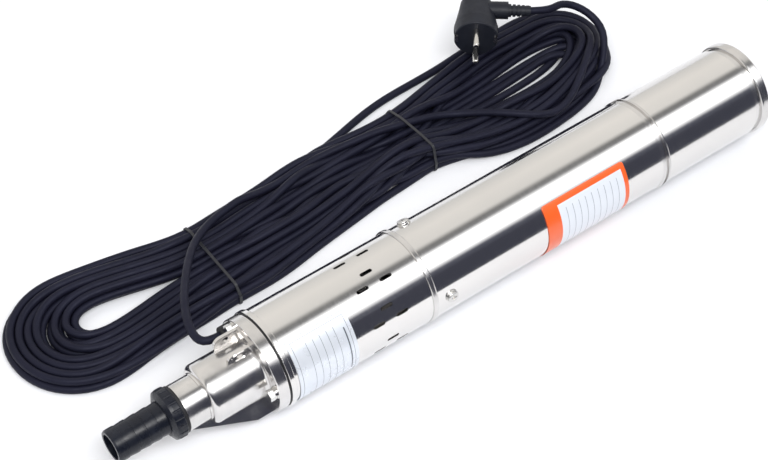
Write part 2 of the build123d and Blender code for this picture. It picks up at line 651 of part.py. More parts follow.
def motor_shaft():
    """Stainless shaft from the drive hub to the lower bearing, with the step that carries the core."""
    step_x, step_end_x = UPPER_BEARING_X + BEARING_WIDTH + 2, LOWER_BEARING_X - 2
    thin = SHAFT_RADIUS - SHAFT_CHAMFER
    return turned(
        (SHAFT_START_X, 0), (SHAFT_START_X, thin), (SHAFT_START_X + SHAFT_CHAMFER, SHAFT_RADIUS),
        (step_x, SHAFT_RADIUS), (step_x, SHAFT_STEP), (step_end_x, SHAFT_STEP), (step_end_x, SHAFT_RADIUS),
        (SHAFT_END_X - SHAFT_CHAMFER, SHAFT_RADIUS), (SHAFT_END_X, thin), (SHAFT_END_X, 0))


def rotor_core():
    """Laminated core of the motor rotor."""
    return ring(ROTOR_X, ROTOR_END_X, ROTOR_RADIUS, SHAFT_STEP + FIT)


def rotor_end_ring(start):
    """One cast aluminium end ring of the rotor cage."""
    return ring(start, start + END_RING_LENGTH, ROTOR_RADIUS - 0.4, ROTOR_RADIUS - END_RING_DEPTH)


def winding_bar(start, end, shrink):
    """One slot's worth of winding, a sector between two radii."""
    inner, outer = SLOT_INNER + shrink, SLOT_OUTER - shrink
    half = radians(SLOT_HALF_ANGLE) - shrink / inner
    corners = [(inner * cos(half), -inner * sin(half)), (outer * cos(half), -outer * sin(half)),
               (outer * cos(half), outer * sin(half)), (inner * cos(half), inner * sin(half))]
    flat = Plane.YZ * make_face(Polyline(*corners, close=True))
    return Pos(start, 0, 0) * extrude(flat, end - start)


def stator_core():
    """Laminated core fixed in the motor tube, with its winding slots."""
    body = ring(STACK_X, STACK_END_X, SPIGOT_RADIUS, STACK_BORE)
    for k in range(STACK_SLOTS):
        body -= Rot(k * 360 / STACK_SLOTS, 0, 0) * winding_bar(STACK_X - 1, STACK_END_X + 1, 0)
    return body


def stator_winding():
    """Copper winding: a bar in each slot, joined by the end turns at both ends."""
    outer, inner = SLOT_OUTER + 2.5, SLOT_INNER + 0.6
    body = ring(STACK_X - WINDING_OVERHANG, STACK_X - WINDING_GAP, outer, inner)
    body += ring(STACK_END_X + WINDING_GAP, STACK_END_X + WINDING_OVERHANG, outer, inner)
    for k in range(STACK_SLOTS):
        bar = winding_bar(STACK_X - 4, STACK_END_X + 4, WINDING_SLACK)
        body += Rot(k * 360 / STACK_SLOTS, 0, 0) * bar
    return body


def motor_tube():
    """Polished tube round the motor, with the three side screw holes."""
    body = ring(MOTOR_X, GROOVE_X, TUBE_RADIUS, TUBE_BORE)
    for angle in BOLT_ANGLES:
        body -= side_screw_place(angle) * Cylinder(SIDE_SCREW_RADIUS + HOLE_CLEARANCE, 8)
    return body


def side_screws():
    """Pan head screws with a cross recess, through the motor tube into the seal bracket."""
    screws = []
    seat = SIDE_WASHER_THICKNESS + HOLE_CLEARANCE
    top = seat + SIDE_SCREW_HEAD_HEIGHT
    head = Pos(0, 0, seat) * Cylinder(SIDE_SCREW_HEAD_RADIUS, SIDE_SCREW_HEAD_HEIGHT, align=FROM_BELOW)
    head = fillet(head.edges().filter_by(GeomType.CIRCLE).sort_by(Axis.Z)[-1], SIDE_SCREW_HEAD_HEIGHT / 2)
    for turn in (0, 90):
        head -= Pos(0, 0, top) * Rot(0, 0, turn) * Box(CROSS_LENGTH, CROSS_WIDTH, 2 * CROSS_DEPTH)
    shank = Pos(0, 0, seat - SIDE_SCREW_LENGTH) * Cylinder(SIDE_SCREW_RADIUS, SIDE_SCREW_LENGTH,
                                                           align=FROM_BELOW)
    for angle in BOLT_ANGLES:
        screws.append(side_screw_place(angle) * (head + shank))
    return Compound(screws)


def side_washers():
    """Washers under the side screws, hollowed to lie on the tube."""
    washers = []
    top = SIDE_WASHER_THICKNESS + HOLE_CLEARANCE
    blank = Pos(0, 0, -1) * Cylinder(SIDE_WASHER_RADIUS, top + 1, align=FROM_BELOW)
    blank -= Pos(0, 0, -2) * Cylinder(SIDE_SCREW_RADIUS + FIT, top + 3, align=FROM_BELOW)
    tube = ring(MOTOR_X, MOTOR_X + 2 * SIDE_SCREW_STANDOFF, TUBE_RADIUS + 0.02)
    for angle in BOLT_ANGLES:
        washers.append(side_screw_place(angle) * blank - tube)
    return Compound(washers)


# Lower bracket, capacitor, tail tube and bottom cap


def lower_bracket():
    """Bracket between motor tube and tail tube: bearing pocket inside, double ridge outside."""
    front, back = GROOVE_X - LOWER_SPIGOT_IN_MOTOR, TAIL_X + LOWER_SPIGOT_IN_TAIL
    ridge = GROOVE_RING_WIDTH / 3
    crest = TUBE_RADIUS + GROOVE_RIDGE
    valley = TUBE_RADIUS - GROOVE_DEPTH
    body = turned(
        (front, 0), (front, SPIGOT_RADIUS), (GROOVE_X, SPIGOT_RADIUS), (GROOVE_X, TUBE_RADIUS),
        (GROOVE_X + ridge / 2, crest), (GROOVE_X + ridge, crest), (GROOVE_X + ridge, valley),
        (TAIL_X - ridge, valley), (TAIL_X - ridge, crest), (TAIL_X - ridge / 2, crest),
        (TAIL_X, TUBE_RADIUS), (TAIL_X, SPIGOT_RADIUS), (back, SPIGOT_RADIUS), (back, CAP_BORE_RADIUS),
        (TAIL_X + 2, CAP_BORE_RADIUS), (TAIL_X + 2, 0))
    body -= ring(front - 1, SHAFT_END_X + FIT, BEARING_OUTER_RADIUS + FIT)
    body -= ring(SHAFT_END_X, SHAFT_END_X + 1.5, BEARING_OUTER_RADIUS - BEARING_SHOULDER)
    body -= seal_groove(LOWER_GROOVE_X) + seal_groove(TAIL_GROOVE_X)
    return body - round_bar(front - 1, back + 1, LEAD_HOLE_RADIUS, 90, LEAD_HOLE_CIRCLE)


def tail_tube():
    """Polished tube round the capacitor."""
    return ring(TAIL_X, CAP_GROOVE_X, TUBE_RADIUS, TUBE_BORE)


def capacitor():
    """Run capacitor with two terminal tags on the motor side."""
    body = ring(CAPACITOR_X, CAPACITOR_X + CAPACITOR_LENGTH, CAPACITOR_RADIUS)
    body = fillet(body.edges().filter_by(GeomType.CIRCLE), 1.5)
    for side in (-1, 1):
        body += Pos(CAPACITOR_X - 3.5, side * CAPACITOR_RADIUS * 0.3, 0) * Box(9, 0.8, 6)
    return body


def capacitor_cushion(start):
    """One rubber ring that holds the capacitor in the tail tube."""
    return ring(start, start + CUSHION_WIDTH, SPIGOT_RADIUS, CAPACITOR_RADIUS + FIT)


def bottom_cap():
    """Bottom cap with a hollow spigot, a groove behind its rim and a slightly dished end."""
    start = CAP_GROOVE_X - CAP_SPIGOT
    groove = TUBE_RADIUS - CAP_GROOVE_DEPTH
    dish_x = END_X - CAP_DISH
    body = turned(
        (start, CAP_BORE_RADIUS), (start, SPIGOT_RADIUS), (CAP_GROOVE_X, SPIGOT_RADIUS),
        (CAP_GROOVE_X, groove), (RIM_X, groove), (RIM_X, RIM_RADIUS), (END_X, RIM_RADIUS),
        (END_X, CAP_BORE_RADIUS), (dish_x, CAP_BORE_RADIUS - 3), (dish_x, 0),
        (dish_x - CAP_SKIN, 0), (dish_x - CAP_SKIN, CAP_BORE_RADIUS))
    body = fillet(circles_of(body, RIM_RADIUS), 1.8)
    return body - seal_groove(CAP_SEAL_X)


def sealing_ring(groove_x):
    """One square-section sealing ring of a tube joint, in the groove that starts at this station."""
    bottom = SPIGOT_RADIUS - SEAL_GROOVE_DEPTH + FIT
    return ring(groove_x + 0.2, groove_x + SEAL_GROOVE_WIDTH - 0.2, TUBE_BORE, bottom)


# Lead, hank, ties and plug

LEAD_Y = CABLE_CIRCLE * cos(radians(CABLE_ANGLE))
LEAD_Z = AXIS_HEIGHT + CABLE_CIRCLE * sin(radians(CABLE_ANGLE))
LEAD_ROUTE = [
    (FLANGE_X - GLAND_STANDOFF + LEAD_START, LEAD_Y, LEAD_Z), (-202.5, LEAD_Y, LEAD_Z), (-197.5, 51.0, 51.5),
    (-188.0, 80.0, 44.0), (-170.0, 107.0, 35.5), (-147.5, 129.5, 29.0), (-118.0, 146.0, 26.0),
    (-86.0, 152.0, 17.0),
]


def plug_place():
    """The plug's face centre, with Z pointing out of the face along the pins, and Y up."""
    return Pos(*PLUG_FACE_CENTRE) * Rot(0, 0, PLUG_TURN) * Rot(0, 90, 0) * Rot(0, 0, 90)


def relief_place():
    """The strain relief's inner end, with X along the lead and away from the plug."""
    return plug_place() * Pos(RELIEF_START, RELIEF_LIFT, -RELIEF_BACK)


def plug_lead_route():
    """The lead from inside the strain relief, round the end of the hank and down into it."""
    places = [relief_place() * Pos(RELIEF_LENGTH + along, 0, 0) for along in (-LEAD_START, 9.0)]
    points = [tuple(place.position) for place in places]
    return points + [(243.0, 158.0, 41.0), (259.0, 146.0, 31.0), (264.5, 128.0, 21.5), (256.0, 109.0, 15.0)]


def corner_radii(points):
    """The arc at each corner of a route: 0.45 of the shorter run over the tangent of half the turn."""
    radii = []
    for a, b, c in zip(points, points[1:], points[2:]):
        before, after = Vector(*b) - Vector(*a), Vector(*c) - Vector(*b)
        half = radians(before.get_angle(after)) / 2
        radii.append(0.45 * min(before.length, after.length) / tan(half))
    return radii


def cable_tube(name, points):
    """A round tube along a route of straight runs joined by tangent arcs."""
    radii = corner_radii(points)
    path = FilletPolyline(*points, radius=radii)
    print(name, "radii", [round(r, 1) for r in radii], "length", round(path.length, 1))
    print(name, "points", [tuple(round(c, 1) for c in point) for point in points])
    return sweep(Plane(origin=path @ 0, z_dir=path % 0) * Circle(CABLE_RADIUS), path)


HANK_OUTLINE = [
    (-314, 122), (-303, 84), (-272, 65), (-222, 63), (-180, 76), (-146, 83), (-133, 83), (-70, 78),
    (-20, 88), (30, 91), (59, 96), (72, 96), (105, 83), (180, 77), (232, 84), (266, 106), (281, 146),
    (272, 186), (240, 194), (195, 190), (140, 186), (72, 168), (59, 168), (20, 174), (-25, 173), (-80, 167),
    (-133, 157), (-146, 157), (-190, 168), (-230, 177), (-272, 176), (-304, 160),
]
HANK_EYE = [(-262, 128), (-250, 114), (-212, 114), (-190, 128), (-212, 140), (-250, 142)]
TIES = [(-139.5, 83.0, 157.0), (65.5, 96.0, 168.0)]


def cable_hank():
    """The outer shape of the tied hank, with the eye of its left loop open."""
    outline = make_face(Polyline(*HANK_OUTLINE, close=True))
    outline = fillet(outline.vertices(), HANK_CORNER)
    eye = make_face(Polyline(*HANK_EYE, close=True))
    slab = extrude(outline, HANK_TOP - HANK_BOTTOM) - extrude(eye, HANK_TOP)
    slab = chamfer(slab.faces().sort_by(Axis.Z)[-1].outer_wire().edges(), HANK_CHAMFER)
    return Pos(0, 0, HANK_BOTTOM) * slab


def hank_ties():
    """Two flat ties round the waists of the hank."""
    group = []
    for x, near, far in TIES:
        inner_width, inner_height = far - near + 2 * TIE_GAP, HANK_TOP - HANK_BOTTOM + 2 * TIE_GAP
        middle = Pos(x, (near + far) / 2, (HANK_TOP + HANK_BOTTOM) / 2) * Rot(0, 90, 0)
        outer_shape = RectangleRounded(inner_height + 2 * TIE_THICKNESS, inner_width + 2 * TIE_THICKNESS, 1.5)
        inner_shape = RectangleRounded(inner_height, inner_width, 0.6)
        group.append(middle * extrude(outer_shape - inner_shape, TIE_WIDTH / 2, both=True))
    return Compound(group)


def plug_body():
    """Moulded angled plug: round face, tapered back and the sleeve that carries the strain relief."""
    face = extrude(Circle(PLUG_FACE_RADIUS), -PLUG_SHOULDER)
    face = fillet(face.edges().filter_by(GeomType.CIRCLE).sort_by(Axis.Z)[-1], PLUG_FACE_EDGE)
    back_end = RectangleRounded(PLUG_BACK_WIDTH, PLUG_BACK_HEIGHT, PLUG_BACK_CORNER)
    back = loft([Pos(0, 0, -PLUG_SHOULDER) * Circle(PLUG_FACE_RADIUS),
                 Pos(0, PLUG_BACK_LIFT, -PLUG_DEPTH) * back_end])
    sleeve = Cylinder(PLUG_SLEEVE_RADIUS, RELIEF_START, align=FROM_BELOW)
    body = face + back + Pos(0, RELIEF_LIFT, -RELIEF_BACK) * Rot(0, 90, 0) * sleeve
    for side in (-1, 1):
        body -= Pos(side * PLUG_FACE_RADIUS, 0, 0) * Box(
            2 * CLIP_NOTCH_DEPTH, CLIP_NOTCH_WIDTH, 2 * CLIP_NOTCH_LENGTH)
        hole = Cylinder(PIN_RADIUS + FIT, 2 * (PIN_ROOT + FIT))
        body -= Pos(0, side * PIN_SPACING / 2, 0) * hole
    return plug_place() * body


def plug_pins():
    """Two round pins with domed ends, one above the other."""
    pins = []
    pin = Pos(0, 0, -PIN_ROOT) * Cylinder(PIN_RADIUS, PIN_LENGTH + PIN_ROOT, align=FROM_BELOW)
    pin = fillet(pin.edges().filter_by(GeomType.CIRCLE).sort_by(Axis.Z)[-1], PIN_DOME)
    for side in (-1, 1):
        pins.append(plug_place() * Pos(0, side * PIN_SPACING / 2, 0) * pin)
    return Compound(pins)


def earth_clips():
    """Spring earth clips in the notches at the two sides of the face."""
    clips = []
    bottom = PLUG_FACE_RADIUS - CLIP_NOTCH_DEPTH + CLIP_THICKNESS / 2
    strip = Pos(0, 0, -CLIP_NOTCH_LENGTH) * Box(
        CLIP_THICKNESS, CLIP_WIDTH, CLIP_NOTCH_LENGTH + CLIP_THICKNESS, align=FROM_BELOW)
    for side in (-1, 1):
        hook = Pos(-side * CLIP_HOOK / 2, 0, CLIP_THICKNESS / 2) * Box(CLIP_HOOK, CLIP_WIDTH, CLIP_THICKNESS)
        clips.append(plug_place() * Pos(side * bottom, 0, 0) * (strip + hook))
    return Compound(clips)


def strain_relief():
    """Ribbed sleeve where the lead leaves the plug."""
    bore = CABLE_RADIUS + FIT
    profile = [(0.0, bore)]
    pitch = RELIEF_LENGTH / RELIEF_RIBS
    for k in range(RELIEF_RIBS):
        crest = RELIEF_RADIUS - RELIEF_TAPER * k / RELIEF_RIBS
        groove_x = pitch * (k + RIB_SHARE)
        profile += [(pitch * k, crest), (groove_x, crest), (groove_x, RELIEF_NECK),
                    (pitch * (k + 1), RELIEF_NECK)]
    profile.append((RELIEF_LENGTH, bore))
    return relief_place() * turned(*profile)


# Build everything

add("hose_tail", hose_tail())
add("hose_washer", hose_washer())
add("discharge_head", discharge_head())
add("head_gasket", head_gasket())
add("through_bolts", through_bolts())
add("bolt_washers", bolt_washers())
add("cable_gland", cable_gland())
add("inner_cable", inner_cable())
add("casing_collar", casing_collar())
add("casing_tube", casing_tube())
add("pump_sleeve", pump_sleeve())
add("rubber_lining", rubber_lining())
add("screw_rotor", screw_rotor())
add("drive_core", drive_core())
add("drive_hub", drive_hub())
add("set_screw", set_screw())
add("seal_bracket", seal_bracket())
add("seal_seat", seal_seat())
add("seal_head", seal_head())
for end_name, start in (("upper", UPPER_BEARING_X), ("lower", LOWER_BEARING_X)):
    add(end_name + "_outer_race", outer_race(start))
    add(end_name + "_inner_race", inner_race(start))
    add(end_name + "_balls", bearing_balls(start))
    add(end_name + "_cage", ball_cage(start))
add("motor_shaft", motor_shaft())
add("rotor_core", rotor_core())
add("upper_end_ring", rotor_end_ring(ROTOR_X - END_RING_LENGTH))
add("lower_end_ring", rotor_end_ring(ROTOR_END_X))
add("stator_core", stator_core())
add("stator_winding", stator_winding())
add("motor_tube", motor_tube())
add("side_screws", side_screws())
add("side_washers", side_washers())
add("lower_bracket", lower_bracket())
add("tail_tube", tail_tube())
add("capacitor", capacitor())
add("upper_cushion", capacitor_cushion(CAPACITOR_X + CUSHION_INSET))
add("lower_cushion", capacitor_cushion(CAPACITOR_X + CAPACITOR_LENGTH - CUSHION_INSET - CUSHION_WIDTH))
add("bottom_cap", bottom_cap())
for joint_name, groove_x in (("casing", CASING_GROOVE_X), ("motor", MOTOR_GROOVE_X), ("lower", LOWER_GROOVE_X),
                             ("tail", TAIL_GROOVE_X), ("cap", CAP_SEAL_X)):
    add(joint_name + "_seal_ring", sealing_ring(groove_x))
add("cable_lead", cable_tube("cable_lead", LEAD_ROUTE), lift=False)
add("cable_hank", cable_hank(), lift=False)
add("plug_lead", cable_tube("plug_lead", plug_lead_route()), lift=False)
add("hank_ties", hank_ties(), lift=False)
add("plug_body", plug_body(), lift=False)
add("plug_pins", plug_pins(), lift=False)
add("earth_clips", earth_clips(), lift=False)
add("strain_relief", strain_relief(), lift=False)

os.makedirs("parts", exist_ok=True)
for name, shape in PARTS.items():
    export_step(shape, f"parts/{name}.step")
print(len(PARTS), "pieces")
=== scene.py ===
import json
from math import radians

import bpy
import numpy as np
from bpy.props import FloatProperty, FloatVectorProperty, IntProperty, PointerProperty
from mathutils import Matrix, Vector


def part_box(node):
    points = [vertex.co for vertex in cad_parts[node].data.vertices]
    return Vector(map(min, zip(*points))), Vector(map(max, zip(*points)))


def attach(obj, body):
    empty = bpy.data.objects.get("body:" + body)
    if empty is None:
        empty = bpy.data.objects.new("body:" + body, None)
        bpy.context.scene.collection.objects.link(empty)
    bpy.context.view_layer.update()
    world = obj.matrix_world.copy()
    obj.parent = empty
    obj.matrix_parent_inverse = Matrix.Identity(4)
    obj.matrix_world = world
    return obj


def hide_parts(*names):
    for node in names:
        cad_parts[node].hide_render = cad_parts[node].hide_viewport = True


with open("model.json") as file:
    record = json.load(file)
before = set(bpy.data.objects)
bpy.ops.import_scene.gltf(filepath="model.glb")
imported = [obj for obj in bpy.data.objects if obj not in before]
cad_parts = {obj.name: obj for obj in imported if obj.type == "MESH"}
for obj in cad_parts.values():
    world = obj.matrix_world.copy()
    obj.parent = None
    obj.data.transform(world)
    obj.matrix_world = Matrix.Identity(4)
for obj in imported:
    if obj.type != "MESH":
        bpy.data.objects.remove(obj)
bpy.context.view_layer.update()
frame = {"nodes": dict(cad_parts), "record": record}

bl_info = {
    "name": "Submersible Well Pump",
    "version": (1, 0, 0),
    "blender": (4, 5, 0),
    "location": "3D View > Sidebar > Well Pump",
    "description": "Dresses a slim well pump: finishes, labels, supply lead in a tied hank, and a studio",
    "category": "Object",
}

# Sizes are in metres and colours are linear. +X runs along the pump from the hose tail to the bottom
# cap, +Y points to the hank behind it, and the floor is z = 0. Angles round the pump are in degrees,
# from +Y towards +Z.

AXIS_HEIGHT = sum(corner.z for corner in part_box("motor_tube")) / 2
TUBE_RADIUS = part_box("motor_tube")[1].z - AXIS_HEIGHT
CASING_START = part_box("casing_collar")[1].x
RING = 6.283185307179586

# The route of the lead from the gland to the hank, and from the hank to the plug's strain relief
GLAND_ROUTE = [
    (-0.1860, 0.0267, 0.0543), (-0.1980, 0.0267, 0.0543), (-0.2050, 0.0330, 0.0545),
    (-0.2030, 0.0475, 0.0538), (-0.1955, 0.0650, 0.0512), (-0.1860, 0.0815, 0.0475),
    (-0.1745, 0.0975, 0.0430), (-0.1630, 0.1124, 0.0380), (-0.1505, 0.1261, 0.0330),
    (-0.1375, 0.1366, 0.0290), (-0.1190, 0.1455, 0.0260), (-0.0960, 0.1510, 0.0240),
]
PLUG_ROUTE = [
    (0.2640, 0.1245, 0.0290), (0.2630, 0.1410, 0.0350), (0.2550, 0.1530, 0.0405), (0.2435, 0.1580, 0.0450),
    (0.2320, 0.1555, 0.0474), (0.2220, 0.1589, 0.0481), (0.2125, 0.1655, 0.0480),
]

# The lead's way along the top of the hank and over to its front edge, before the first turn
TOP_RUN = [
    (-0.070, 0.153, 0.0225), (-0.035, 0.155, 0.0215), (0.000, 0.152, 0.0215), (0.035, 0.148, 0.0215),
    (0.066, 0.145, 0.0215), (0.090, 0.1435, 0.0220), (0.112, 0.1365, 0.0225), (0.127, 0.1215, 0.0225),
    (0.139, 0.1040, 0.0215), (0.157, 0.0890, 0.0190), (0.182, 0.0810, 0.0150),
]

# One turn on the outside of the hank and one on its inside, seen from above: from the front of the tie
# near the plug, round the right end, back along the far side, round the left end and home again
OUTER_TURN = [
    (0.066, 0.1030), (0.105, 0.0955), (0.150, 0.0875), (0.190, 0.0935), (0.224, 0.1035),
    (0.256, 0.1150), (0.271, 0.1380), (0.269, 0.1650), (0.250, 0.1815), (0.215, 0.1870),
    (0.175, 0.1860), (0.130, 0.1780), (0.066, 0.1640), (0.020, 0.1655), (-0.030, 0.1640),
    (-0.085, 0.1610), (-0.1395, 0.1490), (-0.185, 0.1575), (-0.228, 0.1670), (-0.268, 0.1755),
    (-0.299, 0.1650), (-0.3103, 0.1330), (-0.3015, 0.0980), (-0.278, 0.0775), (-0.230, 0.0785),
    (-0.182, 0.0800), (-0.1395, 0.0790), (-0.075, 0.0905), (-0.020, 0.1005), (0.030, 0.1030),
]
INNER_TURN = [
    (0.066, 0.1270), (0.108, 0.1250), (0.152, 0.1190), (0.196, 0.1165), (0.230, 0.1190),
    (0.246, 0.1255), (0.252, 0.1400), (0.246, 0.1545), (0.230, 0.1610), (0.196, 0.1590),
    (0.152, 0.1530), (0.108, 0.1460), (0.066, 0.1380), (0.020, 0.1370), (-0.030, 0.1330),
    (-0.085, 0.1290), (-0.1395, 0.1280), (-0.180, 0.1370), (-0.215, 0.1470), (-0.2430, 0.1510),
    (-0.2580, 0.1450), (-0.2640, 0.1300), (-0.2580, 0.1150), (-0.2430, 0.1090), (-0.215, 0.1120),
    (-0.180, 0.1210), (-0.1395, 0.1240), (-0.075, 0.1220), (-0.020, 0.1250), (0.030, 0.1270),
]

# Each turn, from the top of the hank down: its lane at the left end and at the right end (0 is outermost
# and 1 innermost), how far it is shifted towards the far side at the right end, and its height
TURNS = [
    (0.74, 0.40, 0.002, 0.0175), (0.44, 0.74, -0.002, 0.0170), (0.18, 0.12, 0.000, 0.0160),
    (0.95, 0.50, 0.004, 0.0160), (0.02, 0.30, 0.000, 0.0110), (0.80, 0.95, 0.010, 0.0110),
    (0.32, 0.04, 0.000, 0.0105), (1.00, 0.66, -0.006, 0.0105), (0.52, 0.95, -0.013, 0.0105),
    (0.13, 0.19, 0.000, 0.0100), (0.68, 1.00, 0.021, 0.0045), (0.96, 0.44, 0.000, 0.0045),
    (0.38, 1.00, -0.017, 0.0045), (0.00, 0.09, 0.000, 0.0045), (0.21, 0.00, 0.000, 0.0045),
]

# One turn lies loose on the far side near the plug: how far these points of it stand out
LOOSE_TURN = 13
LOOSE_OFFSET = {9: 0.003, 10: 0.006, 11: 0.0145, 12: 0.0260, 13: 0.0120}

# The first turn starts at this point of the tables above, where the run along the top ends
FIRST_POINT = 4

# The end of the winding: along the front edge and up towards the plug
LAST_RUN = [
    (0.066, 0.1035, 0.0060), (0.105, 0.0890, 0.0045), (0.146, 0.0815, 0.0040), (0.176, 0.0815, 0.0040),
    (0.203, 0.0855, 0.0050), (0.223, 0.0900, 0.0085), (0.2430, 0.0960, 0.0140), (0.2580, 0.1085, 0.0220),
]

# Ties: station along the hank, and the near and far side that each holds together. While the lead settles,
# a tie holds the strands within its reach. A strand counts as inside the tie up to the margins beyond its
# near and far side. The strap is drawn in so many steps round them, and clear of them.
TIES = [(-0.1395, 0.0790, 0.1565), (0.0655, 0.0995, 0.1680)]
TIE_REACH = 0.014
TIE_MARGINS = (0.004, 0.001)
TIE_CLEARANCE = 0.0002
STRAP_STEPS = 160

# How the lead settles. In each step it sinks, is drawn towards its planned place, straightens by a share of
# its bend and is pushed off the links it presses by a share of the overlap. Close pairs are found again
# after so many steps, at so many diameters beyond a link's length, and not among the nearest neighbours.
# Links are parallel where their cross term is below a share of their squared lengths' product, and no push
# is divided by less than the smallest gap.
SINK = 0.00012
DRAW_HOME = 0.02
STRAIGHTEN = 0.115
PUSH_APART = 0.30
PAIR_STEPS = 12
PAIR_REACH = 1.8
PAIR_NEIGHBOURS = 3
SMALLEST_GAP = 1e-6
PARALLEL = 1e-3


class PumpSizes(bpy.types.PropertyGroup):
    """Sizes of the pieces that dress the pump."""
    cable: FloatProperty(
        name="Lead diameter", description="Outside diameter of the supply lead",
        default=0.0065, min=0.004, max=0.012, unit="LENGTH")
    link: FloatProperty(
        name="Link", description="Length of the short stretches that the lead is settled in",
        default=0.009, min=0.005, max=0.02, unit="LENGTH")
    settling: IntProperty(
        name="Settling steps", description="How often the turns are pressed apart and laid down",
        default=260, min=0, max=2000)
    tie_width: FloatProperty(
        name="Tie width", description="Width of the flat ties round the hank",
        default=0.0024, min=0.001, max=0.01, unit="LENGTH")
    tie_thickness: FloatProperty(
        name="Tie thickness", description="Thickness of the flat ties round the hank",
        default=0.0009, min=0.0003, max=0.003, unit="LENGTH")
    label_thickness: FloatProperty(
        name="Label thickness", description="Thickness of the name plate and the sticker",
        default=0.00035, min=0.00005, max=0.001, unit="LENGTH")
    lens: FloatProperty(
        name="Lens", description="Focal length of the camera in millimetres",
        default=91.03, min=20.0, max=200.0)
    floor: FloatProperty(
        name="Floor", description="Width of the studio floor; it reaches back half as far",
        default=7.0, min=2.0, max=20.0, unit="LENGTH")


class PumpColours(bpy.types.PropertyGroup):
    """Base colours of the finishes."""
    steel: FloatVectorProperty(
        name="Polished steel", description="Tubes and end rings", subtype="COLOR",
        default=(0.78, 0.765, 0.745), min=0.0, max=1.0)
    casting: FloatVectorProperty(
        name="Plated casting", description="Head, brackets and bottom cap", subtype="COLOR",
        default=(0.74, 0.725, 0.71), min=0.0, max=1.0)
    sheath: FloatVectorProperty(
        name="Lead sheath", description="Rubber sheath of the supply lead", subtype="COLOR",
        default=(0.0060, 0.0062, 0.0140), min=0.0, max=1.0)
    plug: FloatVectorProperty(
        name="Plug", description="Moulded plug and strain relief", subtype="COLOR",
        default=(0.0090, 0.0105, 0.0165), min=0.0, max=1.0)
    plastic: FloatVectorProperty(
        name="Black plastic", description="Hose tail", subtype="COLOR",
        default=(0.0060, 0.0075, 0.0130), min=0.0, max=1.0)
    paper: FloatVectorProperty(
        name="Label", description="Pale ground of the labels", subtype="COLOR",
        default=(0.78, 0.82, 0.88), min=0.0, max=1.0)
    border: FloatVectorProperty(
        name="Sticker border", description="Orange border of the sticker", subtype="COLOR",
        default=(0.92, 0.13, 0.02), min=0.0, max=1.0)


# Small helpers for node trees and meshes


def put(tree, kind, inputs=None, **settings):
    """Add a node, set its options, and set or link each named input."""
    made = tree.nodes.new(kind)
    for key, value in settings.items():
        setattr(made, key, value)
    for key, value in (inputs or {}).items():
        if isinstance(value, bpy.types.NodeSocket):
            tree.links.new(value, made.inputs[key])
        else:
            made.inputs[key].default_value = value
    return made


def calculate(tree, operation, *values):
    """The result of a Math node on the given values or sockets."""
    return put(tree, "ShaderNodeMath", dict(enumerate(values)), operation=operation).outputs[0]


def new_material(name, colour, roughness, **sockets):
    """A material with one Principled shader; sockets are named with underscores for spaces."""
    material = bpy.data.materials.new(name)
    material.use_nodes = True
    shader = material.node_tree.nodes["Principled BSDF"]
    shader.inputs["Base Color"].default_value = (*colour, 1.0)
    shader.inputs["Roughness"].default_value = roughness
    for key, value in sockets.items():
        shader.inputs[key.replace("_", " ")].default_value = value
    return material, material.node_tree, shader


def object_point(tree, stretch=(1.0, 1.0, 1.0)):
    """Object coordinates, stretched along each axis."""
    place = put(tree, "ShaderNodeTexCoord").outputs["Object"]
    return put(tree, "ShaderNodeVectorMath", {0: place, 1: stretch}, operation="MULTIPLY").outputs[0]


def noise(tree, scale, detail=3.0, stretch=(1.0, 1.0, 1.0)):
    """A noise value over the object."""
    inputs = {"Vector": object_point(tree, stretch), "Scale": scale, "Detail": detail}
    return put(tree, "ShaderNodeTexNoise", inputs).outputs["Fac"]


def spread(tree, value, low, high, start=0.3, end=0.7):
    """Stretch a value from one range to another."""
    inputs = {"Value": value, "From Min": start, "From Max": end, "To Min": low, "To Max": high}
    return put(tree, "ShaderNodeMapRange", inputs).outputs["Result"]


def blend_colours(tree, share, first, second):
    """Mix two colours, or colour sockets, by a share."""
    mixer = put(tree, "ShaderNodeMix", {0: share}, data_type="RGBA")
    for slot, colour in ((6, first), (7, second)):
        if isinstance(colour, bpy.types.NodeSocket):
            tree.links.new(colour, mixer.inputs[slot])
        else:
            mixer.inputs[slot].default_value = (*colour[:3], 1.0)
    return mixer.outputs[2]


def bump(tree, shader, height, strength, distance):
    """Raise the surface by a height value."""
    inputs = {"Height": height, "Strength": strength, "Distance": distance}
    tree.links.new(put(tree, "ShaderNodeBump", inputs).outputs["Normal"], shader.inputs["Normal"])


def finish_node(name, material):
    """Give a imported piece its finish."""
    mesh = frame["nodes"][name].data
    mesh.materials.clear()
    mesh.materials.append(material)
    mesh.polygons.foreach_set("use_smooth", np.ones(len(mesh.polygons), dtype=bool))


def grid_mesh(name, points, wrap_rows=False, uv=None):
    """A mesh from points on a grid of rows and columns; the rows may close into a ring."""
    rows, columns = points.shape[:2]
    row = np.arange(rows if wrap_rows else rows - 1)[:, None]
    column = np.arange(columns - 1)[None, :]
    below = (row + 1) % rows
    quads = np.stack([row * columns + column, row * columns + column + 1,
                      below * columns + column + 1, below * columns + column], axis=-1).reshape(-1, 4)
    mesh = bpy.data.meshes.new(name)
    mesh.from_pydata(points.reshape(-1, 3).tolist(), [], quads.tolist())
    mesh.polygons.foreach_set("use_smooth", np.ones(len(quads), dtype=bool))
    if uv is not None:
        layer = mesh.uv_layers.new(name="UVMap")
        layer.data.foreach_set("uv", uv.reshape(-1, 2)[quads.ravel()].ravel())
    mesh.update()
    return mesh


def place_mesh(name, mesh, material, body="pump_body"):
    """Put a finished mesh in the scene and let it ride on a body."""
    piece = bpy.data.objects.new(name, mesh)
    bpy.context.scene.collection.objects.link(piece)
    mesh.materials.append(material)
    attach(piece, body)
    return piece


# The hank: one long line, wound in turns and then settled


